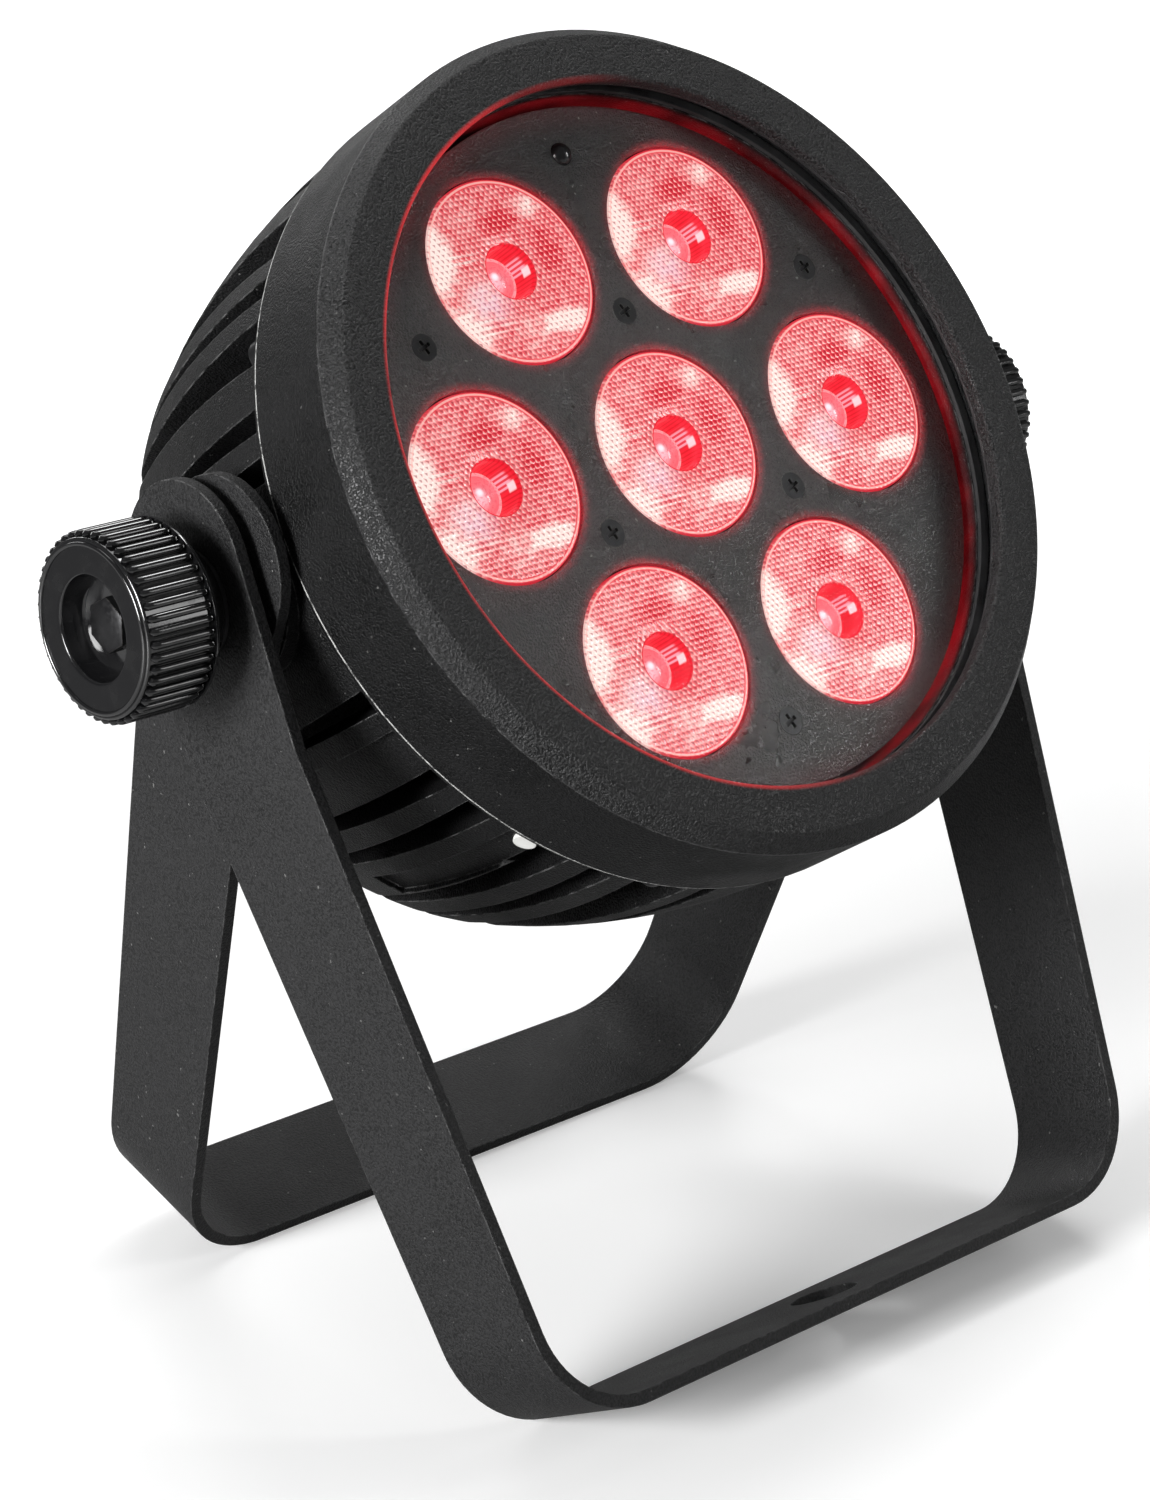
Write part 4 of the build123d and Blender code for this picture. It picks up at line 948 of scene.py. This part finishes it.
smoked_window, tree, shader = moulded(
    "smoked_window", Colour=(0.006, 0.006, 0.008, 1), Haze=(0.02, 0.02, 0.024, 1),
    Smooth=0.04, Rough=0.14, Texture=0.02)
shader.inputs["Coat Weight"].default_value = 1.0
dress(smoked_window, "display_window")

key_cap = moulded("key_cap", Colour=(0.03, 0.03, 0.032, 1), Haze=(0.06, 0.06, 0.062, 1),
                  Smooth=0.45, Rough=0.6, Texture=0.35)[0]
dress(key_cap, "menu_button_1", "menu_button_2", "menu_button_3", "menu_button_4")

socket_shell = moulded("socket_shell", Smooth=0.35, Rough=0.55, Texture=0.3)[0]
dress(socket_shell, "signal_inlet", "signal_outlet", "signal_core")
power_shell = moulded("power_shell", Smooth=0.3, Rough=0.5, Texture=0.2)[0]
dress(power_shell, "power_inlet", "power_outlet", "power_cores")
dress(screw_finish, "socket_nuts")

steel = metal("zinc_steel", 1.0, Dark=(0.42, 0.42, 0.43, 1), Rubbed=(0.68, 0.68, 0.68, 1), Streak_Size=0.0012)
dress(steel, "left_stud", "right_stud", "left_boss_washer", "right_boss_washer", "safety_eye_nuts")
dress(metal("eye_steel", 0.8, Dark=(0.03, 0.03, 0.032, 1)), "safety_eye")

# ---- Breather ----
# A white plug with a membrane lets the closed drum breathe. It is pressed into the drum's underside.
vent_plastic = moulded("vent_plastic", Colour=(0.62, 0.62, 0.6, 1), Haze=(0.75, 0.75, 0.73, 1),
                       Smooth=0.35, Rough=0.5)[0]
dress(vent_plastic, "breather_vent")

# ---- Clamp knobs ----
# Moulded black nylon on a steel stud, glossy, with round ribs along its rim and a raised circle on its face.
# A hexagonal bolt head shows in the deep round recess. The ribs are one rib set round the rim.
dress(carrier_plastic, "left_knob_washer", "right_knob_washer")
knob_nylon, tree, shader = moulded(
    "knob_nylon", Colour=(0.005, 0.005, 0.0055, 1), Haze=(0.01, 0.01, 0.01, 1),
    Smooth=0.07, Rough=0.14, Texture=0.03, Edge=0.00002)
shader.inputs["Specular IOR Level"].default_value = 1.0
face_nylon, tree, shader = moulded(
    "face_nylon", Colour=(0.006, 0.006, 0.0065, 1), Haze=(0.014, 0.014, 0.014, 1),
    Smooth=0.16, Rough=0.3, Texture=0.04)
shader.inputs["Specular IOR Level"].default_value = 0.12

ribbing = bpy.data.node_groups.new("knob_ribs", "GeometryNodeTree")
rib_sizes = {}
for name, kind in (("Count", "Int"), ("Ring Radius", "Float"), ("Rib Radius", "Float"),
                   ("Front", "Float"), ("Back", "Float"), ("Finish", "Material")):
    socket = ribbing.interface.new_socket(name=name, in_out="INPUT", socket_type="NodeSocket" + kind)
    rib_sizes[name] = socket.identifier
ribbing.interface.new_socket(name="Geometry", in_out="OUTPUT", socket_type="NodeSocketGeometry")
given = ribbing.nodes.new("NodeGroupInput")
made = ribbing.nodes.new("NodeGroupOutput")
spots = ribbing.nodes.new("GeometryNodeMeshCircle")
link(ribbing, given.outputs["Count"], spots.inputs["Vertices"])
link(ribbing, given.outputs["Ring Radius"], spots.inputs["Radius"])
rib_line = ribbing.nodes.new("GeometryNodeCurvePrimitiveLine")
for name, end in (("Start", "Front"), ("End", "Back")):
    point = ribbing.nodes.new("ShaderNodeCombineXYZ")
    link(ribbing, given.outputs[end], point.inputs["Z"])
    link(ribbing, point.outputs[0], rib_line.inputs[name])
rib_points = ribbing.nodes.new("GeometryNodeResampleCurve")
rib_points.inputs["Count"].default_value = 24
link(ribbing, rib_line.outputs["Curve"], rib_points.inputs["Curve"])
along = ribbing.nodes.new("GeometryNodeSplineParameter")
doubled = product(ribbing, along.outputs["Factor"], 2.0)
from_end = math_node(ribbing, "ABSOLUTE", math_node(ribbing, "SUBTRACT", doubled, 1.0))
rounded_end = math_node(ribbing, "SUBTRACT", 1.0, math_node(ribbing, "POWER", from_end, 16.0))
rib_taper = math_node(ribbing, "MAXIMUM", math_node(ribbing, "SQRT", rounded_end), 0.02)
thickness = product(ribbing, rib_taper, given.outputs["Rib Radius"])
set_radius = ribbing.nodes.new("GeometryNodeSetCurveRadius")
link(ribbing, rib_points.outputs["Curve"], set_radius.inputs["Curve"])
link(ribbing, thickness, set_radius.inputs["Radius"])
section = ribbing.nodes.new("GeometryNodeCurvePrimitiveCircle")
section.inputs["Resolution"].default_value = 14
section.inputs["Radius"].default_value = 1.0
rib = ribbing.nodes.new("GeometryNodeCurveToMesh")
rib.inputs["Fill Caps"].default_value = True
link(ribbing, set_radius.outputs["Curve"], rib.inputs["Curve"])
link(ribbing, section.outputs["Curve"], rib.inputs["Profile Curve"])
if "Scale" in rib.inputs:
    link(ribbing, thickness, rib.inputs["Scale"])
all_ribs = ribbing.nodes.new("GeometryNodeInstanceOnPoints")
link(ribbing, spots.outputs["Mesh"], all_ribs.inputs["Points"])
link(ribbing, rib.outputs["Mesh"], all_ribs.inputs["Instance"])
smooth = ribbing.nodes.new("GeometryNodeSetShadeSmooth")
link(ribbing, all_ribs.outputs["Instances"], smooth.inputs["Geometry"])
real = ribbing.nodes.new("GeometryNodeRealizeInstances")
link(ribbing, smooth.outputs["Geometry"], real.inputs["Geometry"])
painted = ribbing.nodes.new("GeometryNodeSetMaterial")
link(ribbing, real.outputs["Geometry"], painted.inputs["Geometry"])
link(ribbing, given.outputs["Finish"], painted.inputs["Material"])
link(ribbing, painted.outputs["Geometry"], made.inputs["Geometry"])


def settled(thing):
    """Turns an object's live modifiers into its plain mesh."""
    graph = bpy.context.evaluated_depsgraph_get()
    mesh = bpy.data.meshes.new_from_object(thing.evaluated_get(graph))
    thing.modifiers.clear()
    thing.data = mesh
    return thing


rib_count = 45
rib_round = 0.86
rib_height = 1.25
hub_radius = 12.0
hub_length = 6.5
edge_round = 0.5
flange_length = 0.9
lip_radius = 16.2
lip_height = 0.45
recess_radius = 10.2
recess_depth = 5.5
mouth_round = 0.7
bolt_radius = 5.6
bolt_chamfer_radius = 4.9
bolt_depth = 3.3
for side, name in ((-1, "left_knob"), (1, "right_knob")):
    low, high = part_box(name)
    back = min(abs(low[0]), abs(high[0])) / mm
    front = max(abs(low[0]), abs(high[0])) / mm
    rim = (high[2] - low[2]) / mm / 2
    shoulder = back + hub_length
    core = rim - rib_height
    level = front - lip_height
    knob_profile = [(0, back), (hub_radius - edge_round, back), (hub_radius, back + edge_round)]
    knob_profile += [(hub_radius, shoulder)]
    knob_profile += arc((rim - 0.05 - edge_round, shoulder + edge_round), edge_round, 270, 360, 4)
    knob_profile += [(rim - 0.05, shoulder + flange_length)]
    knob_profile += [(core, shoulder + flange_length + 0.1), (core, front - 1.1)]
    knob_profile += arc((core - edge_round, level - edge_round), edge_round, 0, 90, 5)
    face_start = len(knob_profile) - 1
    knob_profile += [(lip_radius + 0.75, level)] + arc((lip_radius, level), lip_height, 0, 180, 8)
    knob_profile += [(lip_radius - 0.75, level), (recess_radius + mouth_round + 0.5, level)]
    knob_profile += arc((recess_radius + mouth_round, level - mouth_round), mouth_round, 90, 180, 5)
    face_end = len(knob_profile)
    knob_profile += [(recess_radius - 0.6, front - recess_depth + 0.5)]
    knob_profile += [(recess_radius - 1.0, front - recess_depth), (0, front - recess_depth)]
    zones = [1 if face_start <= step < face_end - 4 else 0 for step in range(len(knob_profile))]
    zones[face_start + 2:face_start + 9] = [0] * 7
    turn = Matrix.Translation(pivot) @ Matrix.Rotation(math.radians(90 * side), 4, "Y")
    body = lathe(f"{name}_nylon", knob_profile, zones, [knob_nylon, face_nylon], turn, 96)
    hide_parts(name)
    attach(body, name)

    ribs = bpy.data.objects.new(f"{name}_ribs", bpy.data.meshes.new(f"{name}_ribs"))
    bpy.context.scene.collection.objects.link(ribs)
    rule = ribs.modifiers.new("ribs", "NODES")
    rule.node_group = ribbing
    sizes = {"Count": rib_count, "Ring Radius": (rim - rib_round) * mm, "Rib Radius": rib_round * mm,
             "Front": (front - 0.8) * mm, "Back": (shoulder + flange_length) * mm, "Finish": knob_nylon}
    for size, value in sizes.items():
        rule[rib_sizes[size]] = value
    settled(ribs)
    ribs.data.transform(turn)
    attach(ribs, name)

    bolt_top = front - bolt_depth
    bolt_foot = front - recess_depth - 0.1
    bolt_profile = [(0, bolt_top), (bolt_chamfer_radius, bolt_top), (bolt_radius, bolt_top - 0.4)]
    bolt_profile += [(bolt_radius, bolt_foot), (0, bolt_foot)]
    bolt = lathe(f"{name}_bolt_head", bolt_profile, [0] * 4, [screw_finish], turn, 6)
    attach(bolt, name)
